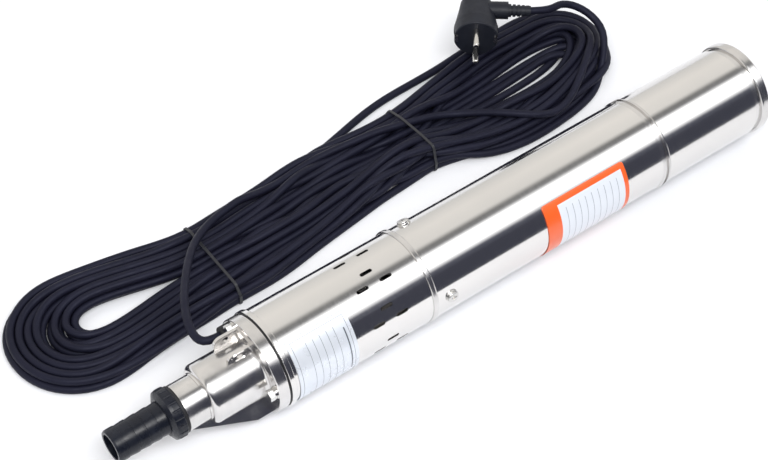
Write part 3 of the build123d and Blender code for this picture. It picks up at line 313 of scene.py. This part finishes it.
def resample(points, step):
    """Points at equal steps along a line through the given points."""
    lengths = np.linalg.norm(np.diff(points, axis=0), axis=1)
    along = np.concatenate([[0.0], np.cumsum(lengths)])
    stations = np.linspace(0.0, along[-1], max(int(round(along[-1] / step)), 2) + 1)
    return np.stack([np.interp(stations, along, points[:, axis]) for axis in range(3)], axis=1)


def rounded(points, passes):
    """Smooth a line by moving each point towards the middle of its neighbours; the ends stay."""
    for _ in range(passes):
        points[1:-1] += 0.5 * ((points[:-2] + points[2:]) / 2 - points[1:-1])
    return points


def wind_turns():
    """The planned line of all turns: each turn lies between the outer and the inner turn, at a share that
    goes smoothly from its lane at the left end to its lane at the right end, and at its own height."""
    outer, inner = np.array(OUTER_TURN), np.array(INNER_TURN)
    middle = (outer[:, 0].max() + outer[:, 0].min()) / 2
    reach = (outer[:, 0].max() - outer[:, 0].min()) / 2
    to_right = 0.5 + 0.5 * np.sin((outer[:, 0] - middle) / reach * np.pi / 2)
    beyond_tie = np.clip((outer[:, 0] - TIES[1][0]) / (outer[:, 0].max() - TIES[1][0]), 0.0, 1.0)
    turns = []
    for k, (left, right, shift, height) in enumerate(TURNS):
        share = left + (right - left) * to_right
        turn = outer + (inner - outer) * share[:, None]
        turn[:, 1] += shift * beyond_tie * (2 - beyond_tie)
        if k == LOOSE_TURN:
            turn[list(LOOSE_OFFSET), 1] += list(LOOSE_OFFSET.values())
        turns.append(np.column_stack([turn, np.full(len(turn), height)]))
    turns[0] = turns[0][FIRST_POINT:]
    return np.concatenate([[GLAND_ROUTE[-1]], TOP_RUN, *turns, LAST_RUN, [PLUG_ROUTE[0]]])


def nearest_points(a, b, c, d):
    """Shares along two sets of straight links, a to b and c to d, at which they are nearest."""
    first, second, gap = b - a, d - c, a - c
    aa, ee = (first ** 2).sum(1), (second ** 2).sum(1)
    ff, cc, bb = (second * gap).sum(1), (first * gap).sum(1), (first * second).sum(1)
    cross = aa * ee - bb ** 2
    skew = cross > PARALLEL * aa * ee
    s = np.where(skew, np.clip((bb * ff - cc * ee) / np.where(skew, cross, 1.0), 0.0, 1.0), 0.5)
    t = np.clip((bb * s + ff) / ee, 0.0, 1.0)
    s = np.clip((bb * t - cc) / aa, 0.0, 1.0)
    return s, t


def close_links(points, reach):
    """Pairs of links whose middles are within reach and that aren't neighbours on the line."""
    middles = (points[:-1] + points[1:]) / 2
    gaps = ((middles[:, None, :] - middles[None, :, :]) ** 2).sum(-1)
    i, j = np.nonzero(gaps < reach ** 2)
    apart = j - i > PAIR_NEIGHBOURS
    return i[apart], j[apart]


def settle(points, sizes):
    """Let the planned line lie down: links press each other one diameter apart, the floor holds them up,
    the ties hold them together, and each keeps near its planned place and its length. The two points at
    each end stay."""
    home = points.copy()
    size = sizes.cable
    radius = size / 2
    rest = np.linalg.norm(np.diff(home, axis=0), axis=1)
    free = np.ones((len(points), 1), dtype=bool)
    free[[0, 1, -2, -1]] = False
    for step in range(sizes.settling):
        if step % PAIR_STEPS == 0:
            i, j = close_links(points, sizes.link + PAIR_REACH * size)
        points[:, 2] -= SINK
        points[:, :2] += DRAW_HOME * (home[:, :2] - points[:, :2])
        bend = points[:-4] - 4 * points[1:-3] + 6 * points[2:-2] - 4 * points[3:-1] + points[4:]
        points[2:-2] -= STRAIGHTEN * bend
        s, t = nearest_points(points[i], points[i + 1], points[j], points[j + 1])
        s, t = s[:, None], t[:, None]
        gap = points[i] * (1 - s) + points[i + 1] * s - points[j] * (1 - t) - points[j + 1] * t
        distance = np.linalg.norm(gap, axis=1, keepdims=True)
        short = np.clip(size - distance, 0.0, None)
        push = PUSH_APART * short * gap / np.maximum(distance, SMALLEST_GAP)
        moves = np.zeros_like(points)
        for index, weight in ((i, 1 - s), (i + 1, s), (j, t - 1), (j + 1, -t)):
            np.add.at(moves, index, push * weight)
        points += moves
        for first in (0, 1):
            a, b = slice(first, len(points) - 1, 2), slice(first + 1, len(points), 2)
            link = points[b] - points[a]
            length = np.linalg.norm(link, axis=1, keepdims=True)
            change = link * (1 - rest[first::2][:len(link), None] / length) / 4
            points[a] += change
            points[b] -= change
        points[:, 2] = np.maximum(points[:, 2], radius)
        for station, near, far in TIES:
            held = (abs(points[:, 0] - station) < TIE_REACH) & (home[:, 1] < far)
            points[held, 1] = np.clip(points[held, 1], near + radius, far - radius)
            points[held, 2] = np.maximum(points[held, 2], radius + sizes.tie_thickness)
        points = np.where(free, points, home)
    return points


def supply_line(sizes):
    """The control points of the whole lead, from inside the gland to inside the plug's strain relief."""
    planned = rounded(resample(wind_turns(), sizes.link), 2)
    settled = rounded(settle(planned, sizes), 1)
    turns = settled[1:-1:2]
    return np.concatenate([GLAND_ROUTE, turns, PLUG_ROUTE])


def nurbs_line(name, points, resolution):
    """A smooth open spline with these control points."""
    curve = bpy.data.curves.new(name, "CURVE")
    curve.dimensions = "3D"
    curve.resolution_u = resolution
    spline = curve.splines.new("NURBS")
    spline.points.add(len(points) - 1)
    spline.points.foreach_set("co", np.column_stack([points, np.ones(len(points))]).ravel())
    spline.order_u = 3
    spline.use_endpoint_u = True
    return curve


def sheath_material(colours):
    """Black rubber sheath: a dull sheen, slow changes of tone, fine matt grain and a little dust."""
    material, tree, shader = new_material("lead sheath", colours.sheath, 0.5, Specular_IOR_Level=0.24,
                                          Specular_Tint=(0.74, 0.77, 1.0, 1.0))
    dusty = tuple(1.6 * part + 0.0012 for part in colours.sheath)
    tone = spread(tree, noise(tree, 35.0, 4.0), 0.0, 0.6)
    tree.links.new(blend_colours(tree, tone, colours.sheath, dusty), shader.inputs["Base Color"])
    tree.links.new(spread(tree, noise(tree, 160.0, 3.0), 0.46, 0.62), shader.inputs["Roughness"])
    bump(tree, shader, noise(tree, 2600.0, 2.0), 0.12, 0.0002)
    return material


class WELLPUMP_OT_supply_lead(bpy.types.Operator):
    """Make the supply lead from the gland through the hank to the plug, in one smooth spline."""
    bl_idname = "wellpump.supply_lead"
    bl_label = "Supply Lead"

    def execute(self, context):
        sizes = context.scene.pump_sizes
        points = supply_line(sizes)
        curve = nurbs_line("supply_lead", points, 3)
        curve.bevel_depth = sizes.cable / 2
        curve.bevel_resolution = 4
        curve.use_fill_caps = True
        curve.materials.append(sheath_material(context.scene.pump_colours))
        lead = bpy.data.objects.new("supply_lead", curve)
        context.scene.collection.objects.link(lead)
        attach(lead, "pump_body")
        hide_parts("cable_lead", "cable_hank", "plug_lead")
        steps = np.linalg.norm(np.diff(points, axis=0), axis=1)
        context.scene["lead_length"] = float(steps.sum())
        lead["strands"] = points[len(GLAND_ROUTE):-len(PLUG_ROUTE)].ravel().tolist()
        return {"FINISHED"}


def strap_round(strands, station, reach, sizes):
    """A flat strap pulled round all strands that cross a station. For each direction round the bundle, the
    strap stands a strand's radius and a clearance off the strand that lies furthest that way. It stays
    above the floor."""
    before, after = strands[:-1], strands[1:]
    crossing = (before[:, 0] - station) * (after[:, 0] - station) <= 0
    a, b = before[crossing], after[crossing]
    share = ((station - a[:, 0]) / np.where(b[:, 0] == a[:, 0], 1.0, b[:, 0] - a[:, 0]))[:, None]
    centres = (a + (b - a) * share)[:, 1:]
    centres = centres[(centres[:, 0] > reach[0]) & (centres[:, 0] < reach[1])]
    angle = np.linspace(0.0, RING, STRAP_STEPS, endpoint=False)
    outward = np.column_stack([np.cos(angle), np.sin(angle)])
    furthest = centres[np.argmax(outward @ centres.T, axis=1)]
    stand = sizes.cable / 2 + TIE_CLEARANCE
    half, thick = sizes.tie_width / 2, sizes.tie_thickness
    edge = thick / 3
    profile = [(-half, edge), (-half + edge, 0.0), (half - edge, 0.0), (half, edge),
               (half, thick - edge), (half - edge, thick), (-half + edge, thick),
               (-half, thick - edge), (-half, edge)]
    rings = np.zeros((len(angle), len(profile), 3))
    for column, (across, off) in enumerate(profile):
        around = furthest + outward * (stand + off)
        rings[:, column, 0] = station + across
        rings[:, column, 1:] = around
        rings[:, column, 2] = np.maximum(around[:, 1], thick - off)
    return rings


class WELLPUMP_OT_hank_ties(bpy.types.Operator):
    """Pull a flat tie tight round the strands at each waist of the hank."""
    bl_idname = "wellpump.hank_ties"
    bl_label = "Hank Ties"

    def execute(self, context):
        sizes = context.scene.pump_sizes
        strands = np.array(bpy.data.objects["supply_lead"]["strands"]).reshape(-1, 3)
        material, tree, shader = new_material("tie wire", (0.016, 0.017, 0.022), 0.45)
        tree.links.new(spread(tree, noise(tree, 400.0), 0.35, 0.55), shader.inputs["Roughness"])
        vertices, offset, quads = [], 0, []
        for station, near, far in TIES:
            rings = strap_round(strands, station, (near - TIE_MARGINS[0], far + TIE_MARGINS[1]), sizes)
            mesh = grid_mesh("tie", rings, wrap_rows=True)
            faces = np.zeros(len(mesh.polygons) * 4, dtype=int)
            mesh.polygons.foreach_get("vertices", faces)
            quads.append(faces.reshape(-1, 4) + offset)
            vertices.append(rings.reshape(-1, 3))
            offset += len(vertices[-1])
            bpy.data.meshes.remove(mesh)
        mesh = bpy.data.meshes.new("hank_straps")
        mesh.from_pydata(np.concatenate(vertices).tolist(), [], np.concatenate(quads).tolist())
        piece = place_mesh("hank_straps", mesh, material)
        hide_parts("hank_ties")
        return {"FINISHED"}


class WELLPUMP_OT_declare_lead(bpy.types.Operator):
    """An empty step that leaves the scene as it is."""
    bl_idname = "wellpump.declare_lead"
    bl_label = "Declare Lead"

    def execute(self, context):
        return {"FINISHED"}


# The studio


def floor_material():
    """Pale paper that is a little brighter to the camera and in reflections, and keeps the shadows."""
    material = bpy.data.materials.new("studio paper")
    material.use_nodes = True
    tree = material.node_tree
    tree.nodes.clear()
    paper = put(tree, "ShaderNodeBsdfDiffuse", {"Color": (0.84, 0.85, 0.88, 1.0)})
    glow = put(tree, "ShaderNodeEmission", {"Color": (1.0, 1.0, 1.0, 1.0), "Strength": 0.05})
    path = put(tree, "ShaderNodeLightPath")
    seen = calculate(tree, "MAXIMUM", path.outputs["Is Camera Ray"], path.outputs["Is Glossy Ray"])
    seen = calculate(tree, "MAXIMUM", seen, path.outputs["Is Transmission Ray"])
    lit = put(tree, "ShaderNodeAddShader", {0: paper.outputs[0], 1: glow.outputs[0]})
    both = put(tree, "ShaderNodeMixShader", {0: seen, 1: paper.outputs[0], 2: lit.outputs[0]})
    put(tree, "ShaderNodeOutputMaterial", {"Surface": both.outputs[0]})
    return material


# Brightness of the studio round the pump, by the angle from +Y over the top to the front, in degrees. The
# ramp of these bands starts straight below.
STUDIO_BANDS = [
    (-10, (0.72, 0.72, 0.73)), (4, (0.80, 0.79, 0.77)), (40, (0.98, 0.95, 0.91)), (78, (0.90, 0.88, 0.85)),
    (88, (0.22, 0.22, 0.22)), (97, (0.26, 0.26, 0.27)), (106, (1.9, 1.92, 1.95)), (132, (1.8, 1.82, 1.86)),
    (144, (0.11, 0.115, 0.15)), (156, (0.060, 0.063, 0.086)), (198, (0.060, 0.063, 0.086)),
    (204, (0.3, 0.3, 0.3)),
]
BANDS_FROM = -90


def studio_world():
    """Surroundings in bands along the pump: pale walls, a bright strip over the front and a dark room."""
    world = bpy.data.worlds.new("studio")
    bpy.context.scene.world = world
    world.use_nodes = True
    tree = world.node_tree
    tree.nodes.clear()
    way = put(tree, "ShaderNodeTexCoord").outputs["Generated"]
    parts = put(tree, "ShaderNodeSeparateXYZ", {0: way})
    angle = calculate(tree, "ARCTAN2", parts.outputs["Z"], parts.outputs["Y"])
    start, end = radians(BANDS_FROM), radians(BANDS_FROM + 360)
    share = spread(tree, calculate(tree, "WRAP", angle, end, start), 0.0, 1.0, start, end)
    ramp = put(tree, "ShaderNodeValToRGB", {"Fac": share})
    stops = ramp.color_ramp.elements
    for k, (degrees, colour) in enumerate(STUDIO_BANDS):
        stop = stops[k] if k < 2 else stops.new(1.0)
        stop.position = (degrees - BANDS_FROM) / 360
        stop.color = (*colour, 1.0)
    bands = put(tree, "ShaderNodeBackground", {"Color": ramp.outputs["Color"], "Strength": 1.0})
    white = put(tree, "ShaderNodeBackground", {"Color": (1.0, 1.0, 1.0, 1.0), "Strength": 1.0})
    path = put(tree, "ShaderNodeLightPath")
    both = put(tree, "ShaderNodeMixShader",
               {0: path.outputs["Is Camera Ray"], 1: bands.outputs[0], 2: white.outputs[0]})
    put(tree, "ShaderNodeOutputWorld", {"Surface": both.outputs[0]})


def soft_lamp(name, place, size, power, colour):
    """A rectangular soft lamp that faces the middle of the pump, with its long side along the pump."""
    data = bpy.data.lights.new(name, "AREA")
    data.shape = "RECTANGLE"
    data.size, data.size_y = size
    data.energy = power
    data.color = colour
    lamp = bpy.data.objects.new(name, data)
    lamp.location = place
    lamp.rotation_euler = (Vector(place) - LAMP_TARGET).to_track_quat("Z", "Y").to_euler()
    bpy.context.scene.collection.objects.link(lamp)


# The paper ends in front of the pump, so that the tubes mirror the dark room below the horizon
FLOOR_FRONT = -0.27
FLOOR_LINES = 9

CAMERA_PLACE = (-0.60337, -0.73402, 1.17930)
CAMERA_DOWN = 49.5515
CAMERA_YAW = 36.4767
SENSOR_WIDTH = 36.0

KEY_LAMP = {"place": (-0.35, -0.75, 1.35), "size": (1.1, 0.40), "power": 13.0, "colour": (1.0, 0.99, 0.975)}
LAMP_TARGET = Vector((0.0, 0.03, 0.03))


class WELLPUMP_OT_stage(bpy.types.Operator):
    """Set up the camera, the pale floor and the soft light."""
    bl_idname = "wellpump.stage"
    bl_label = "Studio"

    def execute(self, context):
        scene = context.scene
        sizes = scene.pump_sizes
        data = bpy.data.cameras.new("camera")
        data.sensor_fit = "HORIZONTAL"
        data.sensor_width = SENSOR_WIDTH
        data.lens = sizes.lens
        camera = bpy.data.objects.new("camera", data)
        camera.location = CAMERA_PLACE
        camera.rotation_euler = (radians(90 - CAMERA_DOWN), 0.0, radians(-CAMERA_YAW))
        scene.collection.objects.link(camera)
        scene.camera = camera
        scene.view_settings.view_transform = "Standard"
        side = np.linspace(-sizes.floor / 2, sizes.floor / 2, FLOOR_LINES)
        back = np.linspace(FLOOR_FRONT, sizes.floor / 2, FLOOR_LINES)
        across, along = np.meshgrid(back, side, indexing="ij")
        flat = np.stack([along, across, np.zeros_like(across)], axis=-1)[:, ::-1]
        mesh = grid_mesh("floor", flat)
        mesh.materials.append(floor_material())
        floor = bpy.data.objects.new("floor", mesh)
        scene.collection.objects.link(floor)
        studio_world()
        soft_lamp("key lamp", **KEY_LAMP)
        return {"FINISHED"}


# Finishes


def polished_steel(name, colour, smooth, rough, ring_strength):
    """Bright steel: fine rings from polishing round the pump, soft smears, and a faint uneven shine."""
    material, tree, shader = new_material(name, colour, smooth, Metallic=1.0)
    smear = noise(tree, 14.0, 5.0, (0.6, 1.0, 1.0))
    rings = noise(tree, 1.0, 2.0, (2600.0, 40.0, 40.0))
    warm = tuple(0.93 * part for part in colour)
    shine = blend_colours(tree, spread(tree, smear, 0.0, 1.0), colour, warm)
    tree.links.new(shine, shader.inputs["Base Color"])
    grain = calculate(tree, "MULTIPLY", smear, rings)
    tree.links.new(spread(tree, grain, smooth, rough, 0.12, 0.42), shader.inputs["Roughness"])
    bump(tree, shader, rings, ring_strength, 0.00002)
    return material


def cast_metal(name, colour, smooth, rough):
    """Plated casting: bright, with a slow cast waviness and small pits under the plating."""
    material, tree, shader = new_material(name, colour, smooth, Metallic=1.0)
    slow = noise(tree, 60.0, 4.0)
    pits = noise(tree, 900.0, 2.0)
    dull = tuple(0.86 * part for part in colour)
    tone = blend_colours(tree, spread(tree, slow, 0.0, 1.0), colour, dull)
    tree.links.new(tone, shader.inputs["Base Color"])
    tree.links.new(spread(tree, slow, smooth, rough), shader.inputs["Roughness"])
    height = calculate(tree, "ADD", slow, calculate(tree, "MULTIPLY", pits, 0.15))
    bump(tree, shader, height, 0.25, 0.0003)
    return material


def dark_rubber(name, colour, smooth, rough):
    """Moulded rubber or plastic: dark, with a matt grain and faint dust."""
    material, tree, shader = new_material(name, colour, smooth, Specular_IOR_Level=0.3)
    dusty = tuple(1.6 * part + 0.0015 for part in colour)
    tone = spread(tree, noise(tree, 70.0, 4.0), 0.0, 0.7)
    tree.links.new(blend_colours(tree, tone, colour, dusty), shader.inputs["Base Color"])
    tree.links.new(spread(tree, noise(tree, 220.0), smooth, rough), shader.inputs["Roughness"])
    bump(tree, shader, noise(tree, 1800.0, 2.0), 0.10, 0.0002)
    return material


def slot_finishes(colours):
    """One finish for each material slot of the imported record."""
    return {
        "polished_steel": polished_steel("polished steel", colours.steel, 0.07, 0.20, 0.10),
        "plated_casting": cast_metal("plated casting", colours.casting, 0.12, 0.26),
        "plain_steel": polished_steel("machined steel", (0.56, 0.56, 0.57), 0.28, 0.42, 0.25),
        "fastener_steel": cast_metal("zinc plated fasteners", (0.70, 0.69, 0.67), 0.16, 0.30),
        "bearing_steel": polished_steel("bearing steel", (0.66, 0.67, 0.69), 0.12, 0.2, 0.15),
        "core_steel": polished_steel("laminated core", (0.24, 0.25, 0.28), 0.38, 0.5, 0.9),
        "cast_aluminium": cast_metal("cast aluminium", (0.72, 0.73, 0.74), 0.38, 0.5),
        "winding_copper": polished_steel("copper winding", (0.72, 0.28, 0.12), 0.3, 0.42, 0.8),
        "cage_brass": cast_metal("cage brass", (0.70, 0.47, 0.16), 0.28, 0.4),
        "seal_ceramic": dark_rubber("seal ceramic", (0.62, 0.60, 0.55), 0.2, 0.3),
        "black_plastic": dark_rubber("hose tail plastic", colours.plastic, 0.22, 0.36),
        "black_rubber": dark_rubber("black rubber", (0.014, 0.014, 0.016), 0.45, 0.6),
        "cable_sheath": dark_rubber("inner lead sheath", colours.sheath, 0.45, 0.58),
        "plug_rubber": dark_rubber("moulded plug", colours.plug, 0.42, 0.56),
        "pin_nickel": cast_metal("nickel pins", (0.76, 0.74, 0.70), 0.14, 0.24),
        "tie_wire": dark_rubber("tie", (0.016, 0.017, 0.022), 0.4, 0.5),
        "capacitor_plastic": dark_rubber("capacitor case", (0.55, 0.56, 0.58), 0.35, 0.5),
    }


class WELLPUMP_OT_finishes(bpy.types.Operator):
    """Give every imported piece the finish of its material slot."""
    bl_idname = "wellpump.finishes"
    bl_label = "Finishes"

    def execute(self, context):
        finishes = slot_finishes(context.scene.pump_colours)
        for part in frame["record"]["subparts"]:
            finish_node(part["node"], finishes[part["material_slot"]])
        return {"FINISHED"}


# Labels. Sizes on them are in metres: x along the pump from the label's start, y round it from its low edge.


LABEL_CORNER = 0.0025
LABEL_STEPS = (65, 61)
SHEET_SHARE = 0.8
RULE_EDGE = 0.00006
FIELD_EDGE = 0.00008
RULE_END_EDGE = 0.0001

# Name plate: two insets of its frame line, rules across, and a bar by its insets from the end and the sides
NAME_PLATE = {"start": CASING_START + 0.003, "end": -0.1115, "low": 118.0, "high": 222.0}
PLATE_FRAME = (0.0030, 0.0033)
PLATE_RULES = [0.0140, 0.0200, 0.0260, 0.0320, 0.0380]
PLATE_RULE = {"width": 0.00030, "low": 0.0080, "high": 0.0080}
PLATE_BAR = {"from_end": 0.0068, "to_end": 0.0058, "low": 0.0120, "high": 0.0160}
PLATE_INK = (0.10, 0.11, 0.14)

# Sticker: width of its border at the start, at the end and on both sides, and rules across the white field
STICKER = {"start": 0.0685, "end": 0.1495, "low": 131.0, "high": 224.0}
STICKER_BORDER = {"start": 0.0135, "end": 0.0040, "side": 0.0050}
STICKER_RULES = [0.0200 + 0.0063 * k for k in range(9)]
STICKER_RULE = {"width": 0.00045, "low": 0.0095, "high": 0.0110}
STICKER_INK = (0.30, 0.32, 0.38)


def wrapped_label(name, start, end, low, high, thickness):
    """A thin sheet bent round the pump, with rounded corners. A point at x and angle t stands at
    (x, r cos t, axis height + r sin t), where r is the tube's radius plus the sheet's thickness. Near an end
    the angles are drawn in along a quarter circle. UV coordinates are metres along and round the sheet."""
    middle, half = (start + end) / 2, (end - start) / 2
    along = half * np.sin(np.linspace(-RING / 4, RING / 4, LABEL_STEPS[0]))
    into_corner = np.clip(abs(along) - half + LABEL_CORNER, 0.0, LABEL_CORNER)
    inset = LABEL_CORNER - np.sqrt(LABEL_CORNER ** 2 - into_corner ** 2)
    radius = TUBE_RADIUS + thickness
    low, high = radians(low), radians(high)
    share = np.linspace(0.0, 1.0, LABEL_STEPS[1])[None, :]
    first, last = low + inset[:, None] / radius, high - inset[:, None] / radius
    turn = first + (last - first) * share
    x = np.repeat(middle + along[:, None], turn.shape[1], axis=1)
    points = np.stack([x, radius * np.cos(turn), AXIS_HEIGHT + radius * np.sin(turn)], axis=-1)
    uv = np.stack([x - start, (turn - low) * radius], axis=-1)
    return grid_mesh(name, points[:, ::-1], uv=uv[:, ::-1])


def thicken(piece, thickness):
    """Give a sheet its thickness, in towards the tube and just clear of it."""
    shell = piece.modifiers.new("thickness", "SOLIDIFY")
    shell.thickness = thickness * SHEET_SHARE
    shell.offset = -1.0


def band(tree, value, low, high, soft):
    """One inside a range of the value and none outside it, with a soft edge."""
    up = put(tree, "ShaderNodeMapRange",
             {"Value": value, "From Min": low - soft, "From Max": low + soft}).outputs["Result"]
    down = put(tree, "ShaderNodeMapRange",
               {"Value": value, "From Min": high + soft, "From Max": high - soft}).outputs["Result"]
    return calculate(tree, "MULTIPLY", up, down)


def label_size(label):
    """Length of a label along the pump and round it."""
    return label["end"] - label["start"], radians(label["high"] - label["low"]) * TUBE_RADIUS


def label_parts(tree):
    """The two coordinates of a label, in metres along and round the pump."""
    uv = put(tree, "ShaderNodeTexCoord").outputs["UV"]
    parts = put(tree, "ShaderNodeSeparateXYZ", {0: uv})
    return parts.outputs["X"], parts.outputs["Y"]


def rules(tree, x, y, places, height, rule):
    """One on thin lines across a label, at each place along it, that end short of its low and high edge."""
    total = band(tree, x, places[0], places[0] + rule["width"], RULE_EDGE)
    for place in places[1:]:
        total = calculate(tree, "MAXIMUM", total, band(tree, x, place, place + rule["width"], RULE_EDGE))
    ends = band(tree, y, rule["low"], height - rule["high"], RULE_END_EDGE)
    return calculate(tree, "MULTIPLY", total, ends)


def inside_of(tree, x, y, left, right, bottom, top):
    """One inside a rectangle of a label and none outside it."""
    return calculate(
        tree, "MULTIPLY", band(tree, x, left, right, FIELD_EDGE), band(tree, y, bottom, top, FIELD_EDGE))


class WELLPUMP_OT_name_plate(bpy.types.Operator):
    """Wrap the bare name plate round the casing: pale satin foil with a frame line, plain rules and a bar."""
    bl_idname = "wellpump.name_plate"
    bl_label = "Name Plate"

    def execute(self, context):
        sizes, colours = context.scene.pump_sizes, context.scene.pump_colours
        mesh = wrapped_label("name_plate", **NAME_PLATE, thickness=sizes.label_thickness)
        material, tree, shader = new_material("name plate foil", colours.paper, 0.3, Metallic=0.25)
        x, y = label_parts(tree)
        width, height = label_size(NAME_PLATE)
        outer, inner = (inside_of(tree, x, y, inset, width - inset, inset, height - inset)
                        for inset in PLATE_FRAME)
        frame_line = calculate(tree, "SUBTRACT", outer, inner)
        rows = rules(tree, x, y, PLATE_RULES, height, PLATE_RULE)
        bar = inside_of(tree, x, y, width - PLATE_BAR["from_end"], width - PLATE_BAR["to_end"],
                        PLATE_BAR["low"], height - PLATE_BAR["high"])
        ink = calculate(tree, "MAXIMUM", calculate(tree, "MAXIMUM", frame_line, rows), bar)
        tree.links.new(blend_colours(tree, ink, colours.paper, PLATE_INK), shader.inputs["Base Color"])
        tree.links.new(spread(tree, noise(tree, 90.0), 0.24, 0.36), shader.inputs["Roughness"])
        thicken(place_mesh("name_plate", mesh, material), sizes.label_thickness)
        return {"FINISHED"}


class WELLPUMP_OT_sticker(bpy.types.Operator):
    """Wrap the bare sticker round the motor: a white field of plain rules in an orange border, which is wide
    at the start."""
    bl_idname = "wellpump.sticker"
    bl_label = "Sticker"

    def execute(self, context):
        sizes, colours = context.scene.pump_sizes, context.scene.pump_colours
        mesh = wrapped_label("sticker", **STICKER, thickness=sizes.label_thickness)
        material, tree, shader = new_material("sticker paper", colours.paper, 0.36, Specular_IOR_Level=0.5,
                                              Coat_Weight=0.5, Coat_Roughness=0.15)
        x, y = label_parts(tree)
        width, height = label_size(STICKER)
        field = inside_of(tree, x, y, STICKER_BORDER["start"], width - STICKER_BORDER["end"],
                          STICKER_BORDER["side"], height - STICKER_BORDER["side"])
        rows = rules(tree, x, y, STICKER_RULES, height, STICKER_RULE)
        ground = blend_colours(tree, rows, colours.paper, STICKER_INK)
        tree.links.new(blend_colours(tree, field, colours.border, ground), shader.inputs["Base Color"])
        tree.links.new(spread(tree, noise(tree, 120.0), 0.3, 0.42), shader.inputs["Roughness"])
        thicken(place_mesh("sticker", mesh, material), sizes.label_thickness)
        return {"FINISHED"}


class WELLPUMP_PT_panel(bpy.types.Panel):
    """Lists the pump's pieces in the sidebar."""
    bl_idname = "WELLPUMP_PT_panel"
    bl_label = "Well Pump"
    bl_space_type = "VIEW_3D"
    bl_region_type = "UI"
    bl_category = "Well Pump"

    def draw(self, context):
        layout = self.layout
        for group in (context.scene.pump_sizes, context.scene.pump_colours):
            for name in group.__annotations__:
                layout.prop(group, name)
        for operator in OPERATORS:
            layout.operator(operator.bl_idname)


OPERATORS = (
    WELLPUMP_OT_stage,
    WELLPUMP_OT_supply_lead,
    WELLPUMP_OT_hank_ties,
    WELLPUMP_OT_declare_lead,
    WELLPUMP_OT_finishes,
    WELLPUMP_OT_name_plate,
    WELLPUMP_OT_sticker,
)
CLASSES = (PumpSizes, PumpColours, *OPERATORS, WELLPUMP_PT_panel)


def register():
    for item in CLASSES:
        bpy.utils.register_class(item)
    bpy.types.Scene.pump_sizes = PointerProperty(type=PumpSizes)
    bpy.types.Scene.pump_colours = PointerProperty(type=PumpColours)


def unregister():
    del bpy.types.Scene.pump_colours
    del bpy.types.Scene.pump_sizes
    for item in reversed(CLASSES):
        bpy.utils.unregister_class(item)


def main():
    """Register the add-on, then dress the pump."""
    register()
    bpy.ops.wellpump.stage()
    bpy.ops.wellpump.supply_lead()
    bpy.ops.wellpump.hank_ties()
    bpy.ops.wellpump.declare_lead()
    bpy.ops.wellpump.finishes()
    bpy.ops.wellpump.name_plate()
    bpy.ops.wellpump.sticker()


if __name__ == "__main__":
    main()
